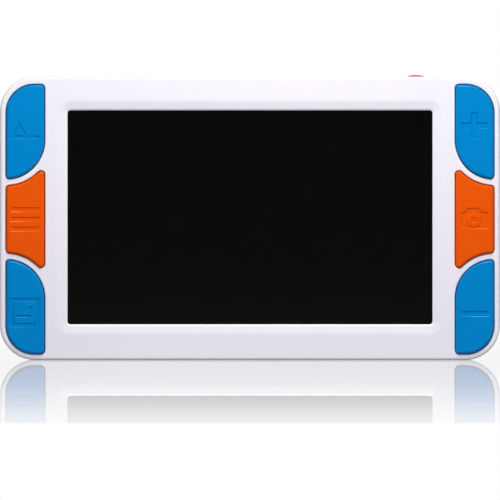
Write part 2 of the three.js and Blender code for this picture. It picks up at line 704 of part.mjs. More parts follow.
function addBoard() {
  const back = BOARD.backY + PART_GAP;
  let board = box(-BOARD.halfWidth, BOARD.halfWidth, BOARD.frontY, BOARD.backY, BOARD.z0, BOARD.z1);
  for (const { sign } of SIDES)
    for (const z of BOARD.postZ) board = board.subtract(pinHole(sign * BOARD.postX, z));
  addPiece("main_board", board, GREEN_BOARD);
  addPiece("processor_shield", boxAt(-14, 44, 24, 22, back, back + 1.9), STEEL);
  addPiece("memory_chip", boxAt(10, 44, 12, 14, back, back + 1.1), BLACK_PLASTIC);
  addPiece("buzzer", bar("y", [-44, 30], 4.5, back, back + 3, 20), BLACK_PLASTIC);

  const usbY = [back, back + USB.depth];
  const usbX = [USB.x - USB.width / 2, USB.x + USB.width / 2];
  // A block inside the socket's shell: how far in from its sides and from its faces, and its ends.
  const insideShell = ([x, y], z0, z1) => box(usbX[0] + x, usbX[1] - x, usbY[0] + y, usbY[1] - y, z0, z1);
  const shell = box(...usbX, ...usbY, SOCKET_MOUTH_Z - USB.length, SOCKET_MOUTH_Z)
    .subtract(insideShell(USB.sheet, SOCKET_MOUTH_Z - USB.mouth, SOCKET_MOUTH_Z + 1))
    .add(insideShell(USB.tongue, SOCKET_MOUTH_Z - USB.mouth - 0.5, SOCKET_MOUTH_Z - 0.8));
  addPiece("usb_socket", shell, STEEL);

  const jackY = back + AV_JACK.depth / 2;
  const jackTop = INNER_TOP_Z - 0.3;
  const jackBottom = jackTop - AV_JACK.length;
  const jack = box(
    AV_JACK.x - AV_JACK.width / 2,
    AV_JACK.x + AV_JACK.width / 2,
    back,
    back + AV_JACK.depth,
    jackBottom,
    jackTop,
  )
    .add(bar("z", [AV_JACK.x, jackY], AV_JACK.barrelRadius, jackTop - 1, SOCKET_MOUTH_Z, 20))
    .subtract(bar("z", [AV_JACK.x, jackY], AV_JACK.boreRadius, jackBottom + 1, CASE.height, 16));
  addPiece("av_jack", jack, BLACK_PLASTIC);

  const cardX = [CARD_SLOT.x - CARD_SLOT.width / 2, CARD_SLOT.x + CARD_SLOT.width / 2];
  const card = box(...cardX, back, back + CARD_SLOT.depth, jackTop - CARD_SLOT.length, jackTop).subtract(
    box(CARD_SLOT.x - 5.6, CARD_SLOT.x + 5.6, back + 0.5, back + 1.3, jackTop - 14, jackTop + 1),
  );
  addPiece("card_socket", card, STEEL);
}

addBoard();

// ---------------------------------------------------------------- battery and its door

const BATTERY_Z = DOOR.midZ;
addPiece(
  "battery",
  boxAt(0, BATTERY_Z, BATTERY.width, BATTERY.height, BATTERY.frontY, BATTERY.frontY + BATTERY.thickness),
  BATTERY_WRAP,
);
addPiece(
  "battery_contacts",
  boxAt(
    CONTACTS.x,
    CONTACTS.z,
    CONTACTS.width,
    CONTACTS.height,
    BOARD.backY + PART_GAP,
    BATTERY.frontY - 0.05,
  ),
  BLACK_PLASTIC,
);

function batteryDoor() {
  const { width, height, corner, thickness, midZ } = DOOR;
  const front = CASE.backY - thickness;
  let door = plate(roundedRect(width, height, corner, midZ, 4), front, CASE.backY);
  const ribX = BATTERY.width / 2 + BAY_CLEARANCE / 2;
  const rib = { width: 0.6, height: height - 8, depth: 1.6 };
  for (const { sign } of SIDES)
    door = door.add(boxAt(sign * ribX, midZ, rib.width, rib.height, front - rib.depth, front + 0.2));
  const groove = { width: 16, height: 0.8, depth: 0.4, pitch: 1.8, count: 4 };
  for (let i = 0; i < groove.count; i++) {
    const z = midZ + height / 2 - 3 - i * groove.pitch;
    const floorY = CASE.backY - groove.depth;
    door = door.subtract(boxAt(0, z, groove.width, groove.height, floorY, CASE.backY + 1));
  }
  return door;
}

addPiece("battery_door", batteryDoor(), WHITE_ABS);

// ---------------------------------------------------------------- camera and lamps

function addCamera() {
  const { midZ, windowWidth, windowHeight, windowThickness, lampX } = CAMERA;
  const front = CAMERA_BOARD.backY + PART_GAP;
  const windowBack = CASE.backY - 0.2;
  const { width, height, frontY, backY } = CAMERA_BOARD;
  addPiece("camera_board", boxAt(0, midZ, width, height, frontY, backY), GREEN_BOARD);
  const plug = boxAt(0, midZ, 10, 3, BOARD.backY + PART_GAP, frontY - PART_GAP);
  addPiece("camera_connector", plug, BLACK_PLASTIC);

  const barrelRadius = 3.5;
  const barrelBack = 8.9;
  const boreFront = 7.2;
  const holder = boxAt(0, midZ, 11, 10, front, front + 2.4)
    .add(bar("y", [0, midZ], 4.7, front, front + 3.6, 24))
    .subtract(bar("y", [0, midZ], barrelRadius + 0.15, front + 0.8, front + 5, 24));
  addPiece("lens_holder", holder, BLACK_PLASTIC);

  const barrel = bar("y", [0, midZ], barrelRadius, front + 1, barrelBack, 24)
    .subtract(bar("y", [0, midZ], 2.6, boreFront, barrelBack + 1, 24));
  addPiece("lens_barrel", barrel, BLACK_PLASTIC);
  const lensFront = boreFront + 0.1;
  const lens = [
    [0, lensFront],
    [2.4, lensFront],
    [2.4, lensFront + 0.4],
    [1.7, lensFront + 0.9],
    [0.9, lensFront + 1.2],
    [0, lensFront + 1.3],
  ];
  addPiece("lens_glass", turned(lens, "y", 0, midZ, 16), CLEAR);

  const lamp = [
    [0, front],
    [2.9, front],
    [2.9, front + 0.9],
    [2.5, front + 0.9],
    [2.5, front + 3.2],
    [2.2, front + 4.3],
    [1.3, front + 5.1],
    [0, front + 5.4],
  ];
  for (const { side, sign } of SIDES)
    addPiece(`lamp_${side}`, turned(lamp, "y", sign * lampX, midZ, 16), LAMP);
  const pane = plate(stadium(windowWidth, windowHeight, midZ), windowBack - windowThickness, windowBack);
  addPiece("camera_window", pane, CLEAR);
}

addCamera();

// ---------------------------------------------------------------- stand

const STRIP = { halfLength: 28, y0: 7.7, y1: 9.9, depth: 1.2, proud: 0.25 };

function stand() {
  const { halfWidth, innerHalfWidth, frontY, backY, hingeY, hingeZ } = STAND;
  const { barrelRadius, pinRadius, pinGap } = STAND;
  let frame = plate(standOutline(0, hingeZ), frontY, backY);
  for (const { sign } of SIDES) {
    const ends = [sign * innerHalfWidth, sign * halfWidth].sort((a, b) => a - b);
    frame = frame
      .add(bar("x", [hingeY, hingeZ], barrelRadius, ...ends, 24))
      .subtract(bar("x", [hingeY, hingeZ], pinRadius + pinGap, ends[0] - 1, ends[1] + 1, 24));
  }
  const { halfLength, y0, y1, depth } = STRIP;
  return frame.subtract(
    box(
      -halfLength - 0.1,
      halfLength + 0.1,
      y0 - 0.1,
      y1 + 0.1,
      STAND.bottomZ - 1,
      STAND.bottomZ + depth + 0.1,
    ),
  );
}

addPiece("stand", stand(), WHITE_ABS);
addPiece(
  "stand_strip",
  box(
    -STRIP.halfLength,
    STRIP.halfLength,
    STRIP.y0,
    STRIP.y1,
    STAND.bottomZ - STRIP.proud,
    STAND.bottomZ + STRIP.depth,
  ),
  RUBBER,
);
for (const { side, sign } of SIDES) {
  const ends = [sign * PIN_INNER_X, sign * PIN_OUTER_X].sort((a, b) => a - b);
  const pin = bar("x", [STAND.hingeY, STAND.hingeZ], STAND.pinRadius, ...ends, 24);
  addPiece(`stand_pin_${side}`, pin, STEEL);
}

// ---------------------------------------------------------------- screws and feet

function screw(x, z) {
  const { headRadius, headHeight, shankRadius, seatY, tipY } = SCREW;
  const top = seatY + 0.05 + headHeight;
  const slot = 0.5;
  const slotLength = 2.2;
  const slotFloor = top - 0.8;
  return together(
    bar("y", [x, z], headRadius, seatY + 0.05, top, 16),
    bar("y", [x, z], shankRadius, tipY, seatY + 0.5, 12),
  )
    .subtract(boxAt(x, z, slotLength, slot, slotFloor, top + 1))
    .subtract(boxAt(x, z, slot, slotLength, slotFloor, top + 1));
}

for (const { corner, sign, z } of CORNERS) {
  addPiece(`case_screw_${corner}`, screw(sign * SCREW.x, z(SCREW.z)), STEEL);
  const y0 = CASE.backY - FOOT.sink + 0.02;
  const ring = (radius) => arc(sign * FOOT.x, z(FOOT.z), radius, 0, 342, 19);
  const edge = 0.4;
  const foot = loft(
    [y0, ring(FOOT.radius)],
    [FOOT.faceY - edge, ring(FOOT.radius)],
    [FOOT.faceY, ring(FOOT.radius - edge)],
  );
  addPiece(`foot_${corner}`, foot, RUBBER);
}

export default magnifier;
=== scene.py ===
import math
from collections import namedtuple

import bmesh
import bpy
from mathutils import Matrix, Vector
from mathutils.geometry import tessellate_polygon


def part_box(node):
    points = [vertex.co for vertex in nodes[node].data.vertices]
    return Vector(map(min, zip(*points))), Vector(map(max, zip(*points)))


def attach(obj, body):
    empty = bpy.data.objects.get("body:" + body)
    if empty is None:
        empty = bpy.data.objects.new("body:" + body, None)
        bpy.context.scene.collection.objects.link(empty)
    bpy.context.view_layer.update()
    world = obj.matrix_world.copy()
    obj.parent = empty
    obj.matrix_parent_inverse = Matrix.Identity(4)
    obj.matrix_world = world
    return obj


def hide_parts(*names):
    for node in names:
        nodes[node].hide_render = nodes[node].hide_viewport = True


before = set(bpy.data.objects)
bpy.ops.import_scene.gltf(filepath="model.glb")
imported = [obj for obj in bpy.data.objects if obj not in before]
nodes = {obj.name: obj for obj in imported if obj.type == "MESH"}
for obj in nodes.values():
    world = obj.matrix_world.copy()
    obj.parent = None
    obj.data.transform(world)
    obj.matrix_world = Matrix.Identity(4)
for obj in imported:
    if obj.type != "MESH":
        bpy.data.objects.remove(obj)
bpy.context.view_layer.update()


# ------------------------------ front housing
# The front half of the case: one moulding in white ABS, 1.4 mm thick at the sides. Its face has
# six key openings and a shallow sloped surround that leads down to the screen. It is held to the
# rear housing by four screws from behind.

mm = 0.001
Middle = namedtuple("Middle", "x y z")


def extent(node):
    """The lowest corner, the highest corner and the middle of a CAD node, in mm."""
    low, high = (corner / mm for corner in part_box(node))
    return low, high, Middle(*[(start + end) / 2 for start, end in zip(low, high)])


front_low, front_high, _ = extent("front_housing")
case_width = front_high.x - front_low.x
case_height = front_high.z - front_low.z
case_middle = case_height / 2
face_y = front_low.y
parting_y = front_high.y
case_corner = 10.5
side_wall = 1.4
groove = 0.25
plate_back = face_y + 1.8
window_low, _, window_middle = extent("screen_window")
screen_width, screen_height, screen_corner = 109.5, 64.2, 0.9
column_middle = 42.2


def arc(x, z, radius, start, end, steps):
    turns = [math.radians(start + (end - start) * i / steps) for i in range(steps + 1)]
    return [(x + radius * math.cos(turn), z + radius * math.sin(turn)) for turn in turns]


def rounded_oblong(width, height, radius, middle_z, steps=10):
    x = width / 2 - radius
    z = height / 2 - radius
    return [
        *arc(x, middle_z + z, radius, 0, 90, steps),
        *arc(-x, middle_z + z, radius, 90, 180, steps),
        *arc(-x, middle_z - z, radius, 180, 270, steps),
        *arc(x, middle_z - z, radius, 270, 360, steps),
    ]


def case_outline(inset):
    width, height = case_width - 2 * inset, case_height - 2 * inset
    return rounded_oblong(width, height, case_corner - inset, case_middle, 14)


def screen_outline(grow):
    width, height = screen_width + 2 * grow, screen_height + 2 * grow
    return rounded_oblong(width, height, screen_corner + grow, window_middle.z, 8)


# A key is drawn round these middles: of its corner by the case's, of its arch, and of its tips,
# where it is pointed. A rib of the face runs between the arches of two keys.
corner_x, corner_z, corner = 64.7, 74.1, 8.4
arch_x, arch_z, arch = 73.2, 65.9, 11.5
outer_x, inner_x, inner_z, tip = 72.1, 62.7, 81.5, 1.0
rib = 2.2


def tip_on_arch(x, radius):
    """Where a tip's middle lies at this x, on a circle round the arch's middle, and which way."""
    z = arch_z - math.sqrt(radius**2 - (x - arch_x) ** 2)
    return z, math.degrees(math.atan2(z - arch_z, x - arch_x))


def upper_key(grow):
    """The upper right key: one corner follows the case's, and the opposite one is a wide arch."""
    foot_z, meet = tip_on_arch(outer_x, arch - tip)
    return [
        *arc(corner_x, corner_z, corner + grow, 0, 90, 14),
        *arc(inner_x, inner_z, tip + grow, 90, 180, 5),
        *arc(arch_x, arch_z, arch + grow, 180, meet + 360, 16),
        *arc(outer_x, foot_z, tip + grow, meet + 360, 360, 6)[1:],
    ]


def middle_key(grow):
    """The middle right key, with a hollow arch above and below that follows its neighbours."""
    outer_z, outer_turn = tip_on_arch(outer_x, arch + rib + tip)
    lower_z, inner_turn = tip_on_arch(inner_x, arch + rib + tip)
    upper = [
        *arc(outer_x, outer_z, tip + grow, 0, 180 + outer_turn, 6),
        *arc(arch_x, arch_z, arch + rib - grow, outer_turn, inner_turn, 14)[1:],
        *arc(inner_x, lower_z, tip + grow, 180 + inner_turn, 180, 7)[1:],
    ]
    return [*upper, *[(x, 2 * column_middle - z) for x, z in reversed(upper)]]


def key_outline(side, place, grow):
    points = middle_key(grow) if place == "middle" else upper_key(grow)
    if place == "lower":
        points = [(x, 2 * column_middle - z) for x, z in reversed(points)]
    if side < 0:
        points = [(-x, z) for x, z in reversed(points)]
    return points


scene = bpy.context.scene


def as_piece(skin, name):
    """Makes a skin into a piece, with its faces pointing outwards."""
    bmesh.ops.recalc_face_normals(skin, faces=skin.faces)
    mesh = bpy.data.meshes.new(name)
    skin.to_mesh(mesh)
    skin.free()
    piece = bpy.data.objects.new(name, mesh)
    scene.collection.objects.link(piece)
    return piece


class Moulding:
    """A closed skin built up from rings of points, the walls between them and the flats across.
    A ring's points lie level at one depth, along Y from the front to the back, or along Z."""

    def __init__(self, along="Y"):
        self.skin = bmesh.new()
        # Its "edge" layer carries painted shade where it is above zero and painted highlight where below
        # zero.
        self.edge_shade_and_highlight = self.skin.verts.layers.float.new("edge")
        self.along = along

    def ring(self, level, outline, edge=0.0):
        corners = []
        for a, b in outline:
            point = (a, level, b) if self.along == "Y" else (a, b, level)
            corner = self.skin.verts.new([part * mm for part in point])
            corner[self.edge_shade_and_highlight] = edge
            corners.append(corner)
        return corners

    def wall(self, *rings):
        for one, other in zip(rings, rings[1:]):
            for i, corner in enumerate(one):
                j = (i + 1) % len(one)
                self.skin.faces.new((corner, other[i], other[j], one[j]))

    def flat(self, outer, *holes, finish=0):
        loops = [[corner.co for corner in loop] for loop in (outer, *holes)]
        corners = [corner for loop in (outer, *holes) for corner in loop]
        for triangle in tessellate_polygon(loops):
            self.skin.faces.new([corners[i] for i in triangle]).material_index = finish

    def finished(self, name):
        return as_piece(self.skin, name)


def rounding(y, radius, outline, steps=5, inwards=1):
    """Rings for an edge that turns from a face at y down into a wall. The outline takes the
    distance that it has moved in from the wall."""
    rings = []
    for i in range(steps + 1):
        turn = math.radians(90 * i / steps)
        rings.append((y + inwards * radius * (1 - math.cos(turn)), outline(radius * (1 - math.sin(turn)))))
    return rings


def settle(piece):
    """Gives a piece the mesh that its modifiers make, and takes the modifiers off."""
    made = bpy.data.meshes.new_from_object(piece.evaluated_get(bpy.context.evaluated_depsgraph_get()))
    piece.modifiers.clear()
    piece.data = made
    made.name = piece.name


def smooth(piece, angle=40):
    """Shades a piece smoothly across its roundings, with its flats kept flat and hard edges sharp."""
    piece.data.shade_smooth()
    piece.data.set_sharp_from_angle(angle=math.radians(angle))
    even = piece.modifiers.new("even", "WEIGHTED_NORMAL")
    even.keep_sharp = True
    even.weight = 100
    settle(piece)


KEYS = [
    ("colour_mode", -1, "upper"),
    ("menu", -1, "middle"),
    ("gallery", -1, "lower"),
    ("zoom_in", 1, "upper"),
    ("freeze", 1, "middle"),
    ("zoom_out", 1, "lower"),
]
key_gap = 0.26
front = Moulding()
outside = []
# The outer rounded edge, from its middle outwards, and the side behind it carry painted shade: a grey tint
# set by "edge".
for step, (y, points) in enumerate(rounding(face_y, 0.8, case_outline, 8)):
    outside.append(front.ring(y, points, edge=max(0, step - 4) / 5))
outside += [
    front.ring(face_y + 1.7, case_outline(0), edge=0.8),
    front.ring(face_y + 3.0, case_outline(0)),
    front.ring(parting_y - groove, case_outline(0)),
    front.ring(parting_y, case_outline(groove)),
    front.ring(parting_y, case_outline(side_wall)),
    front.ring(plate_back, case_outline(side_wall)),
]
front.wall(*outside)
# The surround's profile: how far out from the opening it is, how deep below the face, and how
# much painted highlight its edge carries, a thin bright line next to the screen.
surround = [
    (3.3, 0, 0),
    (3.0, 0.016, 0),
    (2.7, 0.045, 0),
    (2.4, 0.09, 0),
    (0.55, 0.45, 0),
    (0.42, 0.50, -0.7),
    (0.2, 0.63, -1.0),
    (0, 0.85, -1.0),
]
opening = [front.ring(face_y + depth, screen_outline(grow), edge) for grow, depth, edge in surround]
opening += [
    front.ring(window_low.y - 0.05, screen_outline(0)),
    front.ring(window_low.y - 0.05, screen_outline(2.0)),
    front.ring(plate_back, screen_outline(2.0)),
]
front.wall(*opening)
face_holes = [opening[0]]
back_holes = [opening[-1]]
for _, side, place in KEYS:
    rings = [front.ring(face_y, key_outline(side, place, key_gap + 0.5))]
    # The rounded edge of each key opening carries a painted highlight, an "edge" of -1.
    for y, points in rounding(face_y, 0.42, lambda out: key_outline(side, place, key_gap + out), 4):
        rings.append(front.ring(y, points, edge=-1.0))
    rings.append(front.ring(face_y + 0.7, key_outline(side, place, key_gap)))
    rings.append(front.ring(plate_back, key_outline(side, place, key_gap)))
    front.wall(*rings)
    face_holes.append(rings[0])
    back_holes.append(rings[-1])
front.flat(outside[0], *face_holes)
front.flat(outside[-1], *back_holes)
front_housing = front.finished("front_housing_shell")
smooth(front_housing)


def paint(hex_colour):
    """A colour written as sRGB hex, turned to linear."""
    parts = [int(hex_colour[i : i + 2], 16) / 255 for i in (1, 3, 5)]
    return (*[part / 12.92 if part <= 0.04045 else ((part + 0.055) / 1.055) ** 2.4 for part in parts], 1)


def add(tree, kind, inputs=None, **settings):
    """Adds a node with its settings, and its inputs as values or as links, and gives its outputs."""
    made = tree.nodes.new(kind)
    for name, value in settings.items():
        setattr(made, name, value)
    for name, value in (inputs or {}).items():
        if isinstance(value, bpy.types.NodeSocket):
            tree.links.new(value, made.inputs[name])
        else:
            made.inputs[name].default_value = value
    return made.outputs


def start_finish(name):
    """An empty material, its tree, and the piece's own coordinates, which are in metres."""
    made = bpy.data.materials.new(name)
    made.use_nodes = True
    tree = made.node_tree
    tree.nodes.clear()
    return made, tree, add(tree, "ShaderNodeTexCoord")["Object"]


def end_finish(made, tree, sockets):
    """Closes a material with a shader that takes these values and links."""
    shader = add(tree, "ShaderNodeBsdfPrincipled", sockets)
    add(tree, "ShaderNodeOutputMaterial", {"Surface": shader["BSDF"]})
    return made


def spark_eroded_abs(name, light, deep):
    """White ABS out of a spark-eroded mould: satin, with a fine grain that softens its highlights.
    The real grain is about 0.05 mm, and it is drawn at 0.45 mm so that it shows. The colour drifts
    a little where the melt flowed. The edges of openings carry a painted highlight, a paler tint, and
    the case's outer edge carries a painted shade, a grey tint: both follow the "edge" of the mesh."""
    made, tree, place = start_finish(name)
    flow = add(tree, "ShaderNodeTexNoise", {"Vector": place, "Scale": 1 / 0.025, "Detail": 2})
    base = {"Factor": flow["Fac"], "A": paint(light), "B": paint(deep)}
    base = add(tree, "ShaderNodeMix", base, data_type="RGBA")
    edge = add(tree, "ShaderNodeAttribute", attribute_name="edge")["Fac"]
    # Painted shade: a grey tint on the case's outer edge and side, where "edge" is above zero.
    painted_rim_shade = {"Factor": edge, "A": base["Result"], "B": paint("#D2CAD0")}
    painted_rim_shade = add(tree, "ShaderNodeMix", painted_rim_shade, data_type="RGBA")
    # Painted highlight: a paler tint on the edges of openings, where "edge" is below zero.
    painted_highlight = add(tree, "ShaderNodeMath", {0: edge, 1: -1.0}, operation="MULTIPLY")
    tint = {"Factor": painted_highlight["Value"], "A": painted_rim_shade["Result"], "B": paint("#FBFCFF")}
    tint = add(tree, "ShaderNodeMix", tint, data_type="RGBA")
    grain = {"Vector": place, "Scale": 1 / 0.00045, "Detail": 3, "Roughness": 0.6}
    grain = add(tree, "ShaderNodeTexNoise", grain)
    gloss = add(tree, "ShaderNodeMapRange", {"Value": grain["Fac"], "To Min": 0.33, "To Max": 0.43})
    relief = add(tree, "ShaderNodeBump", {"Height": grain["Fac"], "Strength": 0.3, "Distance": 0.04 * mm})
    sockets = {
        "Base Color": tint["Result"],
        "Roughness": gloss["Result"],
        "Normal": relief["Normal"],
        "IOR": 1.53,
    }
    return end_finish(made, tree, sockets)


def coat(piece, *finishes):
    """Puts a finish all over a piece, or several finishes in the order of its faces' numbers."""
    while len(piece.data.materials) < len(finishes):
        piece.data.materials.append(None)
    for i, holder in enumerate(piece.material_slots):
        holder.material = finishes[min(i, len(finishes) - 1)]


def fit(piece, finish, body, slot, *nodes):
    """Coats a piece and sets it in its place: what it rides on, its slot (not used), what it stands for.
    """
    coat(piece, finish)
    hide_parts(*nodes)
    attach(piece, body)


white_abs = spark_eroded_abs("spark_eroded_white_abs", "#F4F2FA", "#F1EFF8")
fit(front_housing, white_abs, "case", "white_case", "front_housing")


# ------------------------------ keys
# Six large keys, three down each side: blue for colour mode, gallery, zoom in and zoom out, and
# orange for menu and freeze. Each is an ABS cap with a rounded crown and a sunk pictogram, a flange
# behind that keeps it in the case, and a pusher in the middle that meets the switch.

key_low, key_high, _ = extent("key_zoom_in")
crown_y = key_low.y
flange_front = plate_back + 0.1
flange_back = flange_front + 1.0
pusher_end = key_high.y
play, flange_reach = 0.04, 0.34
pusher_x, pusher_radius = 67.2, 2.0
pusher_z = {"upper": 68, "middle": case_middle, "lower": case_height - 68}


def disc(x, z, radius, steps=40):
    return arc(x, z, radius, 0, 360 * (steps - 1) / steps, steps - 1)


def moved_out(points, distance):
    """An outline with every side moved outwards by a distance, and its corners kept sharp."""
    moved = []
    for i, (x, z) in enumerate(points):
        x0, z0 = points[i - 1]
        x1, z1 = points[(i + 1) % len(points)]
        before = Vector((x - x0, z - z0)).normalized()
        after = Vector((x1 - x, z1 - z)).normalized()
        out = Vector((before.y + after.y, -before.x - after.x))
        out = out.normalized() * distance / max(0.3, out.length / 2)
        moved.append((x + out.x, z + out.y))
    return moved


def bar_shape(x, z, width, height):
    right, left, top, bottom = x + width / 2, x - width / 2, z + height / 2, z - height / 2
    return [(right, top), (left, top), (left, bottom), (right, bottom)]


def carve(piece, tool, how="DIFFERENCE"):
    """Cuts a tool out of a piece, or joins it on, and puts the tool away."""
    cut = piece.modifiers.new("carve", "BOOLEAN")
    cut.operation = how
    cut.object = tool
    cut.solver = "MANIFOLD"
    settle(piece)
    bpy.data.objects.remove(tool)


def sink(piece, outer, *islands):
    """Presses a shape 0.28 mm into a key's crown, with rounded sides; islands stay at its height."""
    stamp = Moulding()
    profile = [(-0.3, 0.5), (0.02, 0.26), (0.08, 0.15), (0.16, 0.05), (0.28, 0)]
    loops = []
    for points, away in [(outer, 1), *[(island, -1) for island in islands]]:
        rings = [stamp.ring(crown_y + depth, moved_out(points, away * grow)) for depth, grow in profile]
        stamp.wall(*rings)
        loops.append(rings)
    for end in (0, -1):
        stamp.flat(loops[0][end], *[loop[end] for loop in loops[1:]])
    carve(piece, stamp.finished("stamp"))


def pictograms(name):
    """The shapes sunk into a key: each is an outline and the islands left standing in it."""
    if name == "zoom_in":
        x, z, arm, half = 67.25, 70.25, 3.85, 0.72
        quarter = [(arm, half), (half, half), (half, arm)]
        plus = [(x + a, z + b) for a, b in quarter]
        for _ in range(3):
            quarter = [(-b, a) for a, b in quarter]
            plus += [(x + a, z + b) for a, b in quarter]
        return [[plus]]
    if name == "zoom_out":
        return [[bar_shape(67.6, 13.9, 7.4, 1.3)]]
    if name == "menu":
        return [[bar_shape(-67.4, z, 7.8, 1.0)] for z in (45.1, 42.2, 39.3)]
    if name == "freeze":
        body = [(71.2, 44.2), (69.2, 44.2), (68.6, 45.4), (65.2, 45.4), (64.6, 44.2), (63.4, 44.2)]
        return [[[*body, (63.4, 39.6), (71.2, 39.6)], disc(67.1, 41.9, 2.2)], [disc(67.1, 41.9, 0.7)]]
    if name == "gallery":
        frame_shape = bar_shape(-67.5, 14.2, 8.6, 8.4)
        return [
            [frame_shape, bar_shape(-67.5, 14.25, 6.9, 6.7)],
            [bar_shape(-67.8, 13.1, 4.2, 0.35)],
            [disc(-66.1, 15.4, 0.45, 20)],
        ]
    wedge = [(-66.6, 66.5), (-69.2, 71.2), (-71.8, 66.5)]
    return [[wedge, [(-67.8, 67.2), (-69.2, 69.7), (-70.6, 67.2)]], [bar_shape(-64.2, 66.9, 2.2, 0.35)]]


def key_cap(name, side, place):
    cap = Moulding()
    at = side * pusher_x, pusher_z[place]
    edge = rounding(crown_y, 0.7, lambda inset: key_outline(side, place, -play - inset), 7)
    body = [cap.ring(y, points) for y, points in edge]
    body += [
        cap.ring(flange_front, key_outline(side, place, -play)),
        cap.ring(flange_front, key_outline(side, place, flange_reach)),
        cap.ring(flange_back, key_outline(side, place, flange_reach)),
    ]
    pusher = [
        cap.ring(flange_back, disc(*at, pusher_radius)),
        cap.ring(pusher_end - 0.2, disc(*at, pusher_radius)),
        cap.ring(pusher_end, disc(*at, pusher_radius - 0.2)),
    ]
    cap.wall(*body)
    cap.wall(*pusher)
    cap.flat(body[0])
    cap.flat(body[-1], pusher[0])
    cap.flat(pusher[-1])
    piece = cap.finished(f"key_{name}_cap")
    for shapes in pictograms(name):
        sink(piece, *shapes)
    smooth(piece, 50)
    return piece


def end_drifting_finish(made, tree, pattern, light, deep, gloss, sockets):
    """Closes a material whose colour and gloss drift together with one pattern."""
    tint = {"Factor": pattern, "A": paint(light), "B": paint(deep)}
    tint = add(tree, "ShaderNodeMix", tint, data_type="RGBA")
    shine = add(tree, "ShaderNodeMapRange", {"Value": pattern, "To Min": gloss[0], "To Max": gloss[1]})
    linked = {"Base Color": tint["Result"], "Roughness": shine["Result"]}
    return end_finish(made, tree, {**linked, **sockets})


def clouded_plastic(name, light, deep, cloud, gloss, sockets, detail=3, swirl=0.0):
    """Plastic whose colour and gloss drift together in soft clouds, some mm wide: where fingers or
    cloths have touched it, or where the melt swirled in the mould."""
    made, tree, place = start_finish(name)
    clouds = {"Vector": place, "Scale": 1 / (cloud * mm), "Detail": detail, "Distortion": swirl}
    clouds = add(tree, "ShaderNodeTexNoise", clouds)["Fac"]
    return end_drifting_finish(made, tree, clouds, light, deep, gloss, sockets)


def satin_key_abs(name, light, deep, sheen):
    """Coloured ABS out of a polished mould: a low satin gloss, coloured right through, so that the
    gloss takes a tint of it too. Fingers leave it a little duller in patches of about 3 mm."""
    sockets = {"IOR": 1.53, "Specular IOR Level": 0.3, "Specular Tint": paint(sheen)}
    return clouded_plastic(name, light, deep, 3, (0.13, 0.19), sockets)


blue_abs = satin_key_abs("satin_blue_abs", "#008AD2", "#0084CC", "#6FC4FF")
orange_abs = satin_key_abs("satin_orange_abs", "#F35A02", "#EF5600", "#FFC9A0")
for name, side, place in KEYS:
    finish, slot = (orange_abs, "orange_key") if place == "middle" else (blue_abs, "blue_key")
    fit(key_cap(name, side, place), finish, f"{name}_key", slot, f"key_{name}")


# ------------------------------ screen
# The window is a 1 mm acrylic sheet, printed black behind and coated against reflections. The
# display lies behind it: a dark glass panel on a white moulded tray, with an amber flexible circuit.


def striped(name, light, deep, pitch, direction, roughness, ior=1.5, metallic=0.0, waver=0.0):
    """A surface with fine parallel stripes, pitch mm apart: the rows of a display, the tracks in a
    film, or the lines that rolling and grinding leave in steel. The gloss follows the stripes."""
    made, tree, place = start_finish(name)
    lines = {"Vector": place, "Scale": math.pi / (10 * pitch * mm), "Distortion": waver, "Detail": 2}
    lines = add(tree, "ShaderNodeTexWave", lines, bands_direction=direction)["Fac"]
    gloss = (roughness - 0.04, roughness + 0.06)
    sockets = {"IOR": ior, "Metallic": metallic}
    return end_drifting_finish(made, tree, lines, light, deep, gloss, sockets)


# Coated black-backed acrylic is nearly black, with wiping marks about 4 mm apart in its gloss.
coated = {"IOR": 1.49, "Specular IOR Level": 0.3}
coated = clouded_plastic("coated_black_acrylic", "#040404", "#070707", 4, (0.06, 0.12), coated, 2, 0.6)
coat(nodes["screen_window"], coated)
coat(nodes["lcd_panel"], striped("display_glass", "#101114", "#1A1B20", 0.3, "Z", 0.12, 1.52))
coat(nodes["backlight_tray"], spark_eroded_abs("white_tray_polycarbonate", "#E0E1E2", "#D4D6D8"))
amber_film = striped("amber_polyimide_film", "#C98A3A", "#A5641F", 1.0, "X", 0.35, 1.7)
for name in ("screen_flex", "key_flex_left", "key_flex_right"):
    coat(nodes[name], amber_film)


# ------------------------------ rear housing
# The back half of the case, in the same white ABS. Its outer edge is well rounded. Sunk in its
# back are the stand's U-shaped recess, the battery bay, the camera's window, four screw wells and
# four seats for the feet. Four openings along its top edge take the power button and the sockets.

back_y = extent("rear_housing")[1].y
rear_edge = 3.5
stand_low, stand_high, _ = extent("stand")
door_low, door_high, door_middle = extent("battery_door")
pane_low, pane_high, pane_middle = extent("camera_window")
hinge = extent("stand_pin_right")[2]
screw_low, screw_high, screw_middle = extent("case_screw_top_right")
foot_low, foot_high, foot_middle = extent("foot_top_right")
button_low, button_high, button_middle = extent("power_button")
usb_low, usb_high, usb_middle = extent("usb_socket")
leg_inner = 37.4
leg_middle = (leg_inner + stand_high.x) / 2
bar_top = 22
barrel = stand_high.z - hinge.z
low_row = case_height - screw_middle.z
jack_x, jack_y = 33, 0.9
block_x, pin_hole = 41.8, 1.06


def stand_outline(grow, top):
    """The stand's U, with its two legs cut off level at the top."""
    half = stand_high.x
    return [
        (half + grow, top),
        (leg_inner - grow, top),
        *arc(leg_inner - 4, bar_top + 4, 4 - grow, 360, 270, 8),
        *arc(4 - leg_inner, bar_top + 4, 4 - grow, 270, 180, 8),
        (grow - leg_inner, top),
        (-half - grow, top),
        *arc(7 - half, stand_low.z + 7, 7 + grow, 180, 270, 12),
        *arc(half - 7, stand_low.z + 7, 7 + grow, 270, 360, 12),
    ]


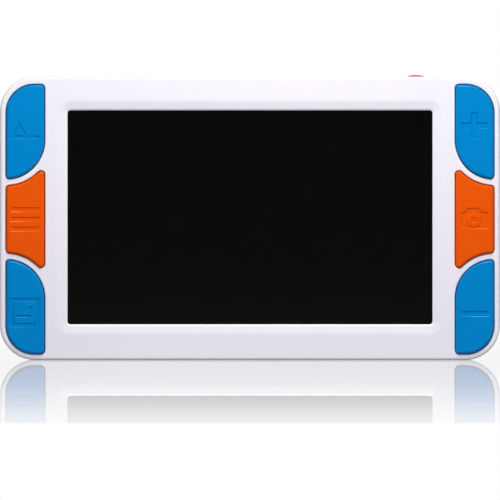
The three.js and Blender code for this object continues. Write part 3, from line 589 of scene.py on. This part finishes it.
def stacked(name, levels, along="Y"):
    """A piece built up from a stack of levels and outlines, with a flat across each end."""
    stack = Moulding(along)
    rings = [stack.ring(level, outline) for level, outline in levels]
    stack.wall(*rings)
    stack.flat(rings[0])
    stack.flat(rings[-1])
    return stack.finished(name)


def slab(outline, start, end, along="Y"):
    """A plain block of some outline, to cut or to join with."""
    return stacked("slab", [(start, outline), (end, outline)], along)


def turned(name, profile, at=(0, 0, 0), axis="Y", sides=48):
    """A turned piece: a profile of (radius, height) in mm that starts and ends on the axis."""
    skin = bmesh.new()
    rings = []
    for radius, height in profile:
        corners = []
        for i in range(sides if radius > 0 else 1):
            turn = 2 * math.pi * i / sides
            a, b = radius * math.cos(turn), radius * math.sin(turn)
            point = {"X": (height, a, b), "Y": (a, height, b), "Z": (a, b, height)}[axis]
            corners.append(skin.verts.new([(part + start) * mm for part, start in zip(point, at)]))
        rings.append(corners)
    for one, other in zip(rings, rings[1:]):
        for i in range(sides):
            j = (i + 1) % sides
            face = [one[i % len(one)], one[j % len(one)], other[j % len(other)], other[i % len(other)]]
            skin.faces.new(list(dict.fromkeys(face)))
    return as_piece(skin, name)


def rod(at, radius, start, end, axis="Y", sides=48):
    return turned("rod", [(0, start), (radius, start), (radius, end), (0, end)], at, axis, sides)


def ease_edges(piece, width, segments=2):
    """Breaks every sharp edge of a piece with a small rounding, as a mould leaves it."""
    tidy = bmesh.new()
    tidy.from_mesh(piece.data)
    bmesh.ops.remove_doubles(tidy, verts=tidy.verts, dist=1e-6)
    bmesh.ops.dissolve_limit(tidy, angle_limit=math.radians(0.5), verts=tidy.verts, edges=tidy.edges)
    tidy.to_mesh(piece.data)
    tidy.free()
    edge = piece.modifiers.new("edges", "BEVEL")
    edge.width = width * mm
    edge.segments = segments
    edge.limit_method = "ANGLE"
    edge.angle_limit = math.radians(38)
    settle(piece)


outer_skin = [(parting_y, case_outline(groove)), (parting_y + groove, case_outline(0))]
outer_skin += reversed(rounding(back_y, rear_edge, case_outline, 12, -1))
rear_housing = stacked("rear_housing_shell", outer_skin)
inside = [
    (parting_y - 1, case_outline(side_wall)),
    (back_y - rear_edge, case_outline(side_wall)),
    (back_y - 1.8, case_outline(side_wall + rear_edge - 1.8)),
]
carve(rear_housing, stacked("hollow", inside))

# Walls inside the back: round the stand's recess, the notch, the bay, the hinges and the screws.
recess_floor = 6.5
pocket_floor = hinge.y - barrel - 0.4
recess_top = hinge.z + barrel + 0.6
behind = back_y - 1.5
bay_x, bay_z, bay_floor = 27.6, 15.1, extent("battery")[0].y - 0.4
walls = [
    slab(stand_outline(1.9, recess_top), recess_floor - 1.4, behind),
    slab(bar_shape(0, 10.4, 20.8, 7.2), 7.4, behind),
    slab(bar_shape(0, door_middle.z, 2 * bay_x + 2.4, 2 * bay_z + 2.4), bay_floor - 1.2, behind),
    slab(bar_shape(0, door_middle.z, 59.4, 35.4), back_y - 2.5, behind),
]
rows = (low_row, case_height - low_row)
for side in (-1, 1):
    walls.append(slab(bar_shape(side * block_x, 75.2, 17.6, 8.4), pocket_floor - 1.4, behind))
    for z in rows:
        walls.append(rod((side * screw_middle.x, 0, z), 3.4, parting_y, behind))
for wall in walls:
    carve(rear_housing, wall, "UNION")

past = back_y + 1
under, over = case_height - side_wall - 1, case_height + 1
cuts = [
    slab(stand_outline(0.5, recess_top), recess_floor, past),
    slab(rounded_oblong(18, 4.0, 1.0, 10.2, 4), 8.8, past),
    slab(bar_shape(0, door_middle.z, 2 * bay_x, 2 * bay_z), bay_floor, past),
    slab(rounded_oblong(58.0, 34.0, 3.3, door_middle.z, 8), back_y - 1.5, past),
    slab(bar_shape(-17, 30, 9.6, 3.6), bay_floor - 2.2, bay_floor + 1),
    slab(rounded_oblong(36.4, 12.4, 6.19, pane_middle.z, 16), pane_low.y - 0.05, past),
    slab(rounded_oblong(33, 9, 4.49, pane_middle.z, 14), back_y - 2.8, past),
    rod((button_middle.x, button_middle.y, 0), 2.7, under, over, "Z"),
    rod((jack_x, jack_y, 0), 2.8, under, over, "Z"),
    slab([(24.1, 1.5), (15.9, 1.5), (15.9, -1.9), (24.1, -1.9)], under, over, "Z"),
    slab([(-12.2, -0.1), (-23.8, -0.1), (-23.8, -1.4), (-12.2, -1.4)], under, over, "Z"),
]
for side in (-1, 1):
    cuts.append(slab(bar_shape(side * leg_middle, 74.9, 9.6, 6.2), pocket_floor, past))
    cuts.append(rod((side * block_x, hinge.y, hinge.z), pin_hole, -8, 8, "X", 32))
    for z in rows:
        cuts.append(rod((side * screw_middle.x, 0, z), 2.3, screw_high.y - 1.4, past))
        cuts.append(rod((side * screw_middle.x, 0, z), 1.15, parting_y - 1, screw_high.y, "Y", 24))
        cuts.append(rod((side * foot_middle.x, 0, z), 4.2, back_y - 0.5, past))
for cut in cuts:
    carve(rear_housing, cut)
ease_edges(rear_housing, 0.18)
smooth(rear_housing)
fit(rear_housing, white_abs, "case", "white_case", "rear_housing")


# ------------------------------ power button
# A round red ABS cap in the top edge. It has a domed end, and a flange inside that keeps it in.

cap_top = button_high.z
flange_top = case_height - side_wall - 0.2
button_profile = []
for degrees in range(0, 61, 10):
    out = 2.4 * math.sin(math.radians(degrees)) / math.sin(1.05)
    button_profile.append((out, cap_top - 0.3 * (1 - math.cos(math.radians(degrees * 1.5)))))
button_profile += [
    (2.5, cap_top - 0.45),
    (2.5, flange_top),
    (3.3, flange_top),
    (3.3, flange_top - 1),
    (1.2, flange_top - 1),
    (1.2, button_low.z),
    (0, button_low.z),
]
button = turned("power_button_cap", button_profile, (button_middle.x, button_middle.y, 0), "Z")
smooth(button, 30)
red_abs = satin_key_abs("satin_red_abs", "#C4323A", "#B82A32", "#FFC8C4")
fit(button, red_abs, "power_key", "red_key", "power_button")


# ------------------------------ stand
# A U-shaped ABS frame with two legs that end in barrels, hinged on a ground steel pin each. A
# strip of rubber in its foot keeps it from slipping.


def stand_side(inset):
    return stand_outline(-inset, hinge.z)


u_frame = rounding(stand_low.y + 1.0, 0.45, stand_side, 4)
u_frame += reversed(rounding(stand_high.y, 0.45, stand_side, 4, -1))
stand = stacked("stand_frame", u_frame)
half = (stand_high.x - leg_inner) / 2
barrel_profile = [(0, -half), (barrel - 0.3, -half), (barrel, 0.3 - half)]
barrel_profile += [(radius, -height) for radius, height in reversed(barrel_profile)]
for side in (-1, 1):
    carve(stand, turned("barrel", barrel_profile, (side * leg_middle, hinge.y, hinge.z), "X"), "UNION")
    carve(stand, rod((side * leg_middle, hinge.y, hinge.z), pin_hole, -half - 1, half + 1, "X", 32))
strip_low, strip_high, strip_middle = extent("stand_strip")
seat = bar_shape(0, strip_middle.z - 0.5, 2 * strip_high.x + 0.2, strip_high.z - strip_low.z + 1.2)
carve(stand, slab(seat, strip_low.y - 0.1, strip_high.y + 0.1))
smooth(stand, 30)
fit(stand, white_abs, "back_stand", "white_case", "stand")

ground_steel = striped("ground_steel_rod", "#C4C6C8", "#A9ACB0", 0.4, "X", 0.25, 1.5, 1.0, 1.5)
for name in ("stand_pin_left", "stand_pin_right"):
    coat(nodes[name], ground_steel)


def moulded_rubber(name):
    """Moulded nitrile rubber: matt and black, with a pebbled skin of about 0.3 mm, and paler in
    patches where dust clings to it."""
    made, tree, place = start_finish(name)
    pebbles = add(tree, "ShaderNodeTexNoise", {"Vector": place, "Scale": 1 / 0.0003, "Detail": 4})
    dust = add(tree, "ShaderNodeTexNoise", {"Vector": place, "Scale": 1 / 0.003, "Detail": 3})
    tint = {"Factor": dust["Fac"], "A": paint("#26272A"), "B": paint("#36373B")}
    tint = add(tree, "ShaderNodeMix", tint, data_type="RGBA")
    relief = {"Height": pebbles["Fac"], "Strength": 0.5, "Distance": 0.05 * mm}
    relief = add(tree, "ShaderNodeBump", relief)
    linked = {"Base Color": tint["Result"], "Normal": relief["Normal"]}
    return end_finish(made, tree, {**linked, "Roughness": 0.82, "IOR": 1.52, "Specular IOR Level": 0.3})


rubber = moulded_rubber("moulded_black_rubber")


def strip_outline(inset):
    height = strip_high.z - strip_low.z - 2 * inset
    return rounded_oblong(2 * (strip_high.x - inset), height, 0.25, strip_middle.z, 4)


strip = rounding(strip_low.y, 0.2, strip_outline, 3)
strip += reversed(rounding(strip_high.y, 0.2, strip_outline, 3, -1))
stand_strip = stacked("stand_rubber_strip", strip)
smooth(stand_strip)
fit(stand_strip, rubber, "back_stand", "rubber", "stand_strip")


# ------------------------------ battery door
# A flat white ABS lid that snaps over the battery. It has four grip grooves near its top edge and
# two low ribs inside that hold the battery. The battery is a foil pouch wrapped in dark film.


def door_outline(inset):
    width = door_high.x - door_low.x - 2 * inset
    return rounded_oblong(width, door_high.z - door_low.z - 2 * inset, 3 - inset, door_middle.z, 8)


door_front = back_y - 1.4
lid = [(door_front, door_outline(0)), *reversed(rounding(door_high.y, 0.25, door_outline, 4, -1))]
battery_door = stacked("battery_door_lid", lid)
for side in (-1, 1):
    rib = slab(bar_shape(side * 27.05, door_middle.z, 0.6, 25.4), door_low.y, door_front + 0.2)
    carve(battery_door, rib, "UNION")


def grow(tree, name, sizes):
    """Makes what a Geometry Nodes tree describes, at these sizes, as a plain mesh."""
    piece = bpy.data.objects.new(name, bpy.data.meshes.new(name))
    scene.collection.objects.link(piece)
    maker = piece.modifiers.new(name, "NODES")
    maker.node_group = tree
    for entry in tree.interface.items_tree:
        if entry.item_type == "SOCKET" and entry.in_out == "INPUT":
            maker[entry.identifier] = sizes[entry.name]
    settle(piece)
    return piece


def start_tree(name, **kinds):
    """An empty Geometry Nodes tree with a named input for each size, and its two ends."""
    tree = bpy.data.node_groups.new(name, "GeometryNodeTree")
    tree.interface.new_socket("Geometry", in_out="OUTPUT", socket_type="NodeSocketGeometry")
    for label, kind in kinds.items():
        tree.interface.new_socket(label, in_out="INPUT", socket_type=f"NodeSocket{kind}")
    return tree, add(tree, "NodeGroupInput")


def end_tree(tree, parts, finish):
    """Closes a tree: its parts are made real and given their finish."""
    real = add(tree, "GeometryNodeRealizeInstances", {"Geometry": parts})
    real = add(tree, "GeometryNodeSetMaterial", {"Geometry": real["Geometry"], "Material": finish})
    add(tree, "NodeGroupOutput", {"Geometry": real["Geometry"]})


lengths = {"Pitch": "Float", "Width": "Float", "Radius": "Float"}
rows_tree, given = start_tree("row_of_grooves", Count="Int", **lengths, Top="Vector", Finish="Material")
down = add(rows_tree, "ShaderNodeMath", {0: given["Pitch"], 1: -1.0}, operation="MULTIPLY")
step = add(rows_tree, "ShaderNodeCombineXYZ", {"Z": down["Value"]})
spots = {"Count": given["Count"], "Start Location": given["Top"], "Offset": step["Vector"]}
spots = add(rows_tree, "GeometryNodeMeshLine", spots)
cutter = {"Vertices": 24, "Radius": given["Radius"], "Depth": given["Width"]}
cutter = add(rows_tree, "GeometryNodeMeshCylinder", cutter)
lying = {"Geometry": cutter["Mesh"], "Rotation": (0, math.radians(90), 0)}
lying = add(rows_tree, "GeometryNodeTransform", lying)
many = {"Points": spots["Mesh"], "Instance": lying["Geometry"]}
many = add(rows_tree, "GeometryNodeInstanceOnPoints", many)
end_tree(rows_tree, many["Instances"], given["Finish"])
grip = {
    "Count": 4,
    "Pitch": 1.8 * mm,
    "Width": 16 * mm,
    "Radius": 0.5 * mm,
    "Top": (0, (back_y + 0.1) * mm, (door_high.z - 3) * mm),
    "Finish": white_abs,
}
carve(battery_door, grow(rows_tree, "grip_grooves", grip))
smooth(battery_door, 30)
fit(battery_door, white_abs, "battery_cover", "white_case", "battery_door")
coat(nodes["battery"], striped("film_wrapped_foil", "#3C4650", "#333C46", 6.0, "Z", 0.32, 1.5, 0.6, 4.0))

# Moulded glass-filled nylon is near black and dull, with a swirl of 2 mm where its fibres lie.
dull, swirled = ((0.42, 0.6), {"IOR": 1.54}), (4, 1.2)
black_nylon = clouded_plastic("glass_filled_black_nylon", "#1C1C1E", "#242427", 2, *dull, *swirled)
coat(nodes["battery_contacts"], black_nylon)


# ------------------------------ camera
# A clear acrylic window, printed black behind but for three round gaps. Behind it are a lens in a
# threaded black barrel, screwed into its holder, and a white lamp on each side of it, all on one
# small board that plugs into the main board.

pane = Moulding()


def pane_outline(inset):
    width, height = pane_high.x - pane_low.x - 2 * inset, pane_high.z - pane_low.z - 2 * inset
    return rounded_oblong(width, height, 5.95 - inset, pane_middle.z, 16)


pane_rings = [pane.ring(pane_low.y, pane_outline(0))]
for y, points in reversed(rounding(pane_high.y, 0.3, pane_outline, 4, -1)):
    pane_rings.append(pane.ring(y, points))
pane.wall(*pane_rings)
pane.flat(pane_rings[-1])
unprinted = ((-12.5, 3.1), (0, 3.9), (12.5, 3.1))
gaps = [pane.ring(pane_low.y, disc(x, pane_middle.z, radius, 48)) for x, radius in unprinted]
pane.flat(pane_rings[0], *gaps, finish=1)
for gap in gaps:
    pane.flat(gap)
camera_pane = pane.finished("camera_pane")
smooth(camera_pane)


def clear_plastic(name, colour, roughness, smear, passing=1.0):
    """Clear polished plastic or glass, with faint smears a few millimetres apart in its gloss. A
    coating lets only part of the light pass, and sends its own colour back."""
    made, tree, place = start_finish(name)
    marks = add(tree, "ShaderNodeTexNoise", {"Vector": place, "Scale": 1 / 0.004, "Detail": 2})
    gloss = {"Value": marks["Fac"], "To Min": roughness, "To Max": roughness + smear}
    gloss = add(tree, "ShaderNodeMapRange", gloss)
    sockets = {"Base Color": paint(colour), "Roughness": gloss["Result"]}
    return end_finish(made, tree, {**sockets, "IOR": 1.49, "Transmission Weight": passing})


# Black screen print is dull, and a little thicker or thinner in soft swirls.
screen_print = clouded_plastic("black_screen_print", "#0E0E10", "#131315", 2, *dull, *swirled)
acrylic = clear_plastic("clear_acrylic", "#F4F8FA", 0.0, 0.05)
fit(camera_pane, acrylic, "case", "clear_lens", "camera_window")
coat(camera_pane, acrylic, screen_print)

tube_low, tube_high, _ = extent("lens_barrel")
tube = tube_high.x
tube_profile = [(0, tube_low.y), (tube - 0.2, tube_low.y), (tube, tube_low.y + 0.2)]
thread_start, pitch, turns = tube_low.y + 1.4, 0.35, 6
for i in range(turns):
    y = thread_start + pitch * i
    tube_profile += [(tube, y), (tube - 0.16, y + 0.17)]
tube_profile += [
    (tube, thread_start + pitch * turns),
    (tube, tube_high.y - 0.2),
    (tube - 0.2, tube_high.y),
    (2.95, tube_high.y),
    (2.75, tube_high.y - 0.25),
    (2.75, tube_high.y - 0.6),
    (2.6, tube_high.y - 0.7),
    (2.6, 7.2),
    (0, 7.2),
]
lens_tube = turned("lens_tube", tube_profile, (0, 0, pane_middle.z), "Y", 64)
smooth(lens_tube, 30)
fit(lens_tube, black_nylon, "case", "black_plastic", "lens_barrel")

lens_low, lens_high, _ = extent("lens_glass")
lens_radius = lens_high.x
lens_rim = lens_low.y + 0.35
lens_profile = [(0, lens_low.y), (lens_radius, lens_low.y)]
for i in range(8):
    turn = math.radians(90 * i / 8)
    bulge = (lens_high.y - lens_rim) * math.sin(turn)
    lens_profile.append((lens_radius * math.cos(turn), lens_rim + bulge))
lens_profile.append((0, lens_high.y))
lens_dome = turned("lens_dome", lens_profile, (0, 0, pane_middle.z), "Y", 48)
smooth(lens_dome, 60)
coated_glass = clear_plastic("coated_lens_glass", "#6A5FB4", 0.02, 0.04, 0.6)
fit(lens_dome, coated_glass, "case", "clear_lens", "lens_glass")


def phosphor_lamp(name):
    """A white lamp: clear epoxy over yellow phosphor. It is yellow at its foot and paler at its
    tip, with a polished dome."""
    made, tree, place = start_finish(name)
    depth = add(tree, "ShaderNodeSeparateXYZ", {"Vector": place})["Y"]
    rise = {"Value": depth, "From Min": lamp_low.y * mm, "From Max": lamp_high.y * mm}
    rise = add(tree, "ShaderNodeMapRange", rise)
    cloud = add(tree, "ShaderNodeTexNoise", {"Vector": place, "Scale": 1 / 0.001, "Detail": 2})
    mixed = {0: rise["Result"], 1: 0.8, 2: cloud["Fac"]}
    mixed = add(tree, "ShaderNodeMath", mixed, operation="MULTIPLY_ADD", use_clamp=True)
    tint = {"Factor": mixed["Value"], "A": paint("#D9C04A"), "B": paint("#F4F2DC")}
    tint = add(tree, "ShaderNodeMix", tint, data_type="RGBA")
    sockets = {"Base Color": tint["Result"], "Roughness": 0.08, "IOR": 1.54}
    return end_finish(made, tree, {**sockets, "Transmission Weight": 0.35})


lamp_low, lamp_high, lamp_middle = extent("lamp_right")
phosphor = phosphor_lamp("phosphor_under_clear_epoxy")
flange, flange_end, dome = 2.9, lamp_low.y + 0.9, 2.5
lamp_profile = [(0, lamp_low.y), (flange, lamp_low.y), (flange, flange_end), (dome, flange_end)]
for i in range(9):
    turn = math.radians(90 * i / 9)
    lamp_profile.append((dome * math.cos(turn), lamp_high.y - dome + dome * math.sin(turn)))
lamp_profile.append((0, lamp_high.y))
for side, place in ((-1, "left"), (1, "right")):
    lamp = turned(f"lamp_dome_{place}", lamp_profile, (side * lamp_middle.x, 0, pane_middle.z), "Y", 40)
    smooth(lamp, 40)
    fit(lamp, phosphor, "case", "lamp_lens", f"lamp_{place}")
for name in ("lens_holder", "camera_connector"):
    coat(nodes[name], black_nylon)


# ------------------------------ sockets
# Along the top edge: a USB socket, which is a folded steel shell round a black tongue, a round jack
# for a television lead with a plated sleeve in its mouth, and a slot for a memory card. They are
# soldered to the main board's edge.

plated_sheet = striped("bright_plated_sheet", "#C9CBCD", "#B4B7BA", 0.5, "Z", 0.22, 1.5, 1.0, 2.0)


def usb_outline(inset):
    width, depth = usb_high.x - usb_low.x - 2 * inset, usb_high.y - usb_low.y - 2 * inset
    return [(x + usb_middle.x, y) for x, y in rounded_oblong(width, depth, 0.75 - inset, usb_middle.y, 6)]


sheet = 0.3
folded = [
    (usb_low.z, usb_outline(0)),
    (usb_high.z - 0.1, usb_outline(0)),
    (usb_high.z, usb_outline(0.08)),
    (usb_high.z, usb_outline(0.2)),
    (usb_high.z - 0.12, usb_outline(sheet)),
    (usb_low.z + 0.6, usb_outline(sheet)),
]
usb_shell = stacked("usb_shell", folded, "Z")
smooth(usb_shell)
fit(usb_shell, plated_sheet, "case", "plated_steel", "usb_socket")
tongue_width, tongue_depth, tongue_y = 5.4, 0.8, usb_middle.y + 0.3
tongue = []
for z, inset in ((usb_low.z + 0.5, 0), (usb_high.z - 0.7, 0), (usb_high.z - 0.5, 0.15)):
    points = rounded_oblong(tongue_width - 2 * inset, tongue_depth - 2 * inset, 0.1, tongue_y, 3)
    tongue.append((z, [(x + usb_middle.x, y) for x, y in points]))
usb_tongue = stacked("usb_tongue", tongue, "Z")
smooth(usb_tongue)
fit(usb_tongue, black_nylon, "case", "black_plastic", "usb_socket")

jack_end = extent("av_jack")[1].z
sleeve_profile = [(1.62, -3), (1.74, -3), (1.74, 0), (2.3, 0), (2.3, 0.12), (2.2, 0.2), (1.75, 0.2)]
sleeve_profile += [(1.62, 0.08), (1.62, -3)]
sleeve = turned("jack_sleeve", sleeve_profile, (jack_x, jack_y, jack_end), "Z", 40)
weld = bmesh.new()
weld.from_mesh(sleeve.data)
bmesh.ops.remove_doubles(weld, verts=weld.verts, dist=1e-7)
bmesh.ops.recalc_face_normals(weld, faces=weld.faces)
weld.to_mesh(sleeve.data)
weld.free()
smooth(sleeve, 30)
coat(sleeve, plated_sheet)
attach(sleeve, "case")
coat(nodes["av_jack"], black_nylon)
coat(nodes["card_socket"], plated_sheet)


# ------------------------------ screws and feet
# Four nickel-plated steel screws with a cross recess, driven from behind into the corners of the
# case, and four round rubber feet that are stuck into shallow seats beside them.

corners_tree, given = start_tree(
    "one_at_each_corner", Part="Object", Width="Float", Height="Float", Middle="Vector", Finish="Material"
)
grid = {"Size X": given["Width"], "Size Y": given["Height"], "Vertices X": 2, "Vertices Y": 2}
grid = add(corners_tree, "GeometryNodeMeshGrid", grid)
upright = {"Rotation": (math.radians(90), 0, 0), "Translation": given["Middle"]}
upright = add(corners_tree, "GeometryNodeTransform", {"Geometry": grid["Mesh"], **upright})
part = add(corners_tree, "GeometryNodeObjectInfo", {"Object": given["Part"]})
many = {"Points": upright["Geometry"], "Instance": part["Geometry"]}
many = add(corners_tree, "GeometryNodeInstanceOnPoints", many)
end_tree(corners_tree, many["Instances"], given["Finish"])

screw_head = screw_high.y
head_seat = screw_head - 1.4
screw_profile = [
    (0, screw_head),
    (1.2, screw_head - 0.03),
    (1.65, screw_head - 0.2),
    (1.88, screw_head - 0.55),
    (1.9, screw_head - 0.8),
    (1.9, head_seat),
    (0.8, head_seat),
]
for i in range(12):
    y = head_seat - 0.6 - 0.58 * i
    screw_profile += [(0.62, y), (0.8, y - 0.29)]
screw_profile += [(0.5, screw_low.y + 0.15), (0, screw_low.y)]
screw = turned("one_screw", screw_profile, sides=24)
for mouth, end in (((2.3, 0.52), (1.5, 0.36)), ((0.52, 2.3), (0.36, 1.5))):
    slot = [(screw_head + 0.2, bar_shape(0, 0, *mouth)), (screw_head - 0.8, bar_shape(0, 0, *end))]
    carve(screw, stacked("cross_recess", slot))
smooth(screw, 30)
nickel = striped("nickel_plated_steel", "#B9B8B4", "#A3A29E", 0.25, "Y", 0.26, 1.5, 1.0, 3.0)
corner_names = ("top_left", "top_right", "bottom_left", "bottom_right")
sizes = {
    "Part": screw,
    "Width": 2 * screw_middle.x * mm,
    "Height": (case_height - 2 * low_row) * mm,
    "Middle": (0, 0, case_middle * mm),
    "Finish": nickel,
}
screws = grow(corners_tree, "case_screws", sizes)
smooth(screws, 30)
bpy.data.objects.remove(screw)
fit(screws, nickel, "case", "screw_steel", *[f"case_screw_{corner}" for corner in corner_names])

pad = foot_high.x - foot_middle.x
# From the pad's side to its middle: each radius, and how deep below the pad's face it lies.
treads = [(pad, 0.45), (pad - 0.06, 0.25), (pad - 0.2, 0.08), (pad - 0.42, 0), (pad - 1.0, 0)]
treads += [(pad - 1.15, 0.12), (pad - 1.25, 0.3), (1.2, 0.3), (1.1, 0.12), (0.95, 0.05), (0, 0.05)]
foot_profile = [(0, foot_low.y), (pad, foot_low.y)]
foot_profile += [(radius, foot_high.y - depth) for radius, depth in treads]
foot = turned("one_foot", foot_profile, sides=48)
sizes = {**sizes, "Part": foot, "Width": 2 * foot_middle.x * mm, "Finish": rubber}
feet = grow(corners_tree, "rubber_feet", sizes)
smooth(feet, 30)
bpy.data.objects.remove(foot)
fit(feet, rubber, "case", "rubber", *[f"foot_{corner}" for corner in corner_names])


# ------------------------------ boards
# Green laminate boards: the main board, with its shield, memory chip, buzzer and power switch, and
# a narrow board down each side with three switches, whose plungers the keys press.


def solder_masked_laminate(name):
    """Glass laminate under green solder mask: copper tracks 1.2 mm apart show through as paler
    lines, and the mask is glossy over them."""
    made, tree, place = start_finish(name)
    tracks = {"Vector": place, "Scale": 1 / 0.0012, "Randomness": 0.35}
    tracks = add(tree, "ShaderNodeTexVoronoi", tracks, feature="DISTANCE_TO_EDGE", distance="EUCLIDEAN")
    lines = {"Value": tracks["Distance"], "From Min": 0.06, "From Max": 0.12}
    lines = add(tree, "ShaderNodeMapRange", lines)
    tint = {"Factor": lines["Result"], "A": paint("#2F7F55"), "B": paint("#1B5A3A")}
    tint = add(tree, "ShaderNodeMix", tint, data_type="RGBA")
    relief = {"Height": lines["Result"], "Strength": 0.4, "Distance": -0.03 * mm}
    relief = add(tree, "ShaderNodeBump", relief)
    linked = {"Base Color": tint["Result"], "Normal": relief["Normal"]}
    return end_finish(made, tree, {**linked, "Roughness": 0.28, "IOR": 1.55})


laminate = solder_masked_laminate("solder_masked_laminate")
for name in ("main_board", "camera_board", "key_board_left", "key_board_right"):
    coat(nodes[name], laminate)
coat(nodes["processor_shield"], plated_sheet)
for name in ("memory_chip", "buzzer", "power_switch"):
    coat(nodes[name], black_nylon)
for name, _, _ in KEYS:
    coat(nodes[f"switch_{name}"], black_nylon)
    coat(nodes[f"plunger_{name}"], black_nylon)


# ------------------------------ studio
# The case stands on a long glossy white board whose front end fades into a white ground. A softbox
# hangs close above and in front, a wide dim one fills in from the camera, and two light the back.
# The lens is long and level with the lower third of the case.

board = bpy.data.meshes.new("studio_floor")
board.from_pydata([(-4, -4, 0), (4, -4, 0), (4, 4, 0), (-4, 4, 0)], [], [(0, 1, 2, 3)])
floor = bpy.data.objects.new("studio_floor", board)
scene.collection.objects.link(floor)
paper, tree, place = start_finish("glossy_white_board")
away = add(tree, "ShaderNodeVectorMath", {0: place}, operation="LENGTH")["Value"]
share = add(tree, "ShaderNodeMapRange", {"Value": away, "From Max": 1.6})
fading = add(tree, "ShaderNodeValToRGB", {"Fac": share["Result"]})
stops = [(0, 0.46), (0.4, 0.46), (0.53, 0.41), (0.64, 0.35)]
stops += [(0.735, 0.29), (0.825, 0.22), (0.905, 0.14), (0.93, 0)]
ramp = fading["Color"].node.color_ramp.elements
while len(ramp) < len(stops):
    ramp.new(0.5)
for element, (position, value) in zip(ramp, stops):
    element.position = position
    element.color = (value, value, value, 1)
chalk = add(tree, "ShaderNodeTexNoise", {"Vector": place, "Scale": 12, "Detail": 2})
pale = {"Factor": chalk["Fac"], "A": paint("#A8A7AA"), "B": paint("#AEADB0")}
pale = add(tree, "ShaderNodeMix", pale, data_type="RGBA")
matt = add(tree, "ShaderNodeBsdfDiffuse", {"Color": pale["Result"]})
in_view = add(tree, "ShaderNodeLightPath")["Is Camera Ray"]
# For the camera the board glows, with painted shade near the case: 0.84 within 0.3 m, rising to full white
# 1.3 m away.
lit = {"Value": away, "From Min": 0.3, "From Max": 1.3, "To Min": 0.84, "To Max": 1.0}
lit = add(tree, "ShaderNodeMapRange", lit)
glow = add(tree, "ShaderNodeEmission", {"Color": (1, 1, 1, 1), "Strength": lit["Result"]})
bright = add(tree, "ShaderNodeMixShader", {0: in_view, 1: matt["BSDF"], 2: glow["Emission"]})
mirror = add(tree, "ShaderNodeBsdfGlossy", {"Color": (1, 1, 1, 1), "Roughness": 0.0})
polish = add(tree, "ShaderNodeMath", {0: fading["Color"], 1: in_view}, operation="MULTIPLY")
both = add(tree, "ShaderNodeMixShader", {0: polish["Value"], 1: bright["Shader"], 2: mirror["BSDF"]})
add(tree, "ShaderNodeOutputMaterial", {"Surface": both["Shader"]})
board.materials.append(paper)

world = bpy.data.worlds.new("studio")
scene.world = world
world.use_nodes = True
tree = world.node_tree
tree.nodes.clear()
seen = add(tree, "ShaderNodeLightPath")
white = {0: seen["Is Camera Ray"], 1: seen["Is Singular Ray"]}
white = add(tree, "ShaderNodeMath", white, operation="MAXIMUM")
backdrop = add(tree, "ShaderNodeBackground", {"Color": (1, 1, 1, 1), "Strength": 1.0})
dimmed = add(tree, "ShaderNodeMapRange", {"Value": seen["Is Glossy Ray"], "To Min": 0.29, "To Max": 0.08})
room = add(tree, "ShaderNodeBackground", {"Color": paint("#F2F0FF"), "Strength": dimmed["Result"]})
sky = {0: white["Value"], 1: room["Background"], 2: backdrop["Background"]}
sky = add(tree, "ShaderNodeMixShader", sky)
add(tree, "ShaderNodeOutputWorld", {"Surface": sky["Shader"]})


def softbox(name, at, aim, size, power, tint, mirrored=True):
    lamp = bpy.data.lights.new(name, "AREA")
    lamp.shape = "RECTANGLE"
    lamp.size, lamp.size_y = size
    lamp.energy = power
    lamp.color = tint
    holder = bpy.data.objects.new(name, lamp)
    holder.location = at
    holder.rotation_euler = (Vector(aim) - Vector(at)).to_track_quat("-Z", "Y").to_euler()
    holder.visible_camera = False
    holder.visible_glossy = mirrored
    scene.collection.objects.link(holder)


softbox("softbox_above", (0.02, -0.2, 0.32), (0, 0, 0.045), (0.14, 0.14), 1.0, (1.0, 0.99, 0.94))
softbox("fill_in_front", (0.1, -1.4, 0.35), (0, 0, 0.04), (1.2, 0.9), 4.4, (0.98, 0.97, 1.0), False)
softbox("softbox_behind", (0.12, 0.28, 0.38), (0, 0, 0.045), (0.2, 0.2), 0.9, (1.0, 0.99, 0.95), False)
softbox("fill_behind", (-0.5, 1.3, 0.5), (0, 0, 0.04), (1.2, 0.9), 3.2, (0.98, 0.98, 1.0), False)
scene.view_settings.view_transform = "Standard"

reach = 4.0
lens = bpy.data.cameras.new("camera")
lens.sensor_width = 36
lens.lens = 36 * reach / (case_width * mm)
lens.clip_end = 30
camera = bpy.data.objects.new("camera", lens)
camera.location = (0, (face_y + 1.1) * mm - reach, 0.033)
camera.rotation_euler = (math.radians(90), 0, 0)
scene.collection.objects.link(camera)
bpy.context.scene.camera = camera
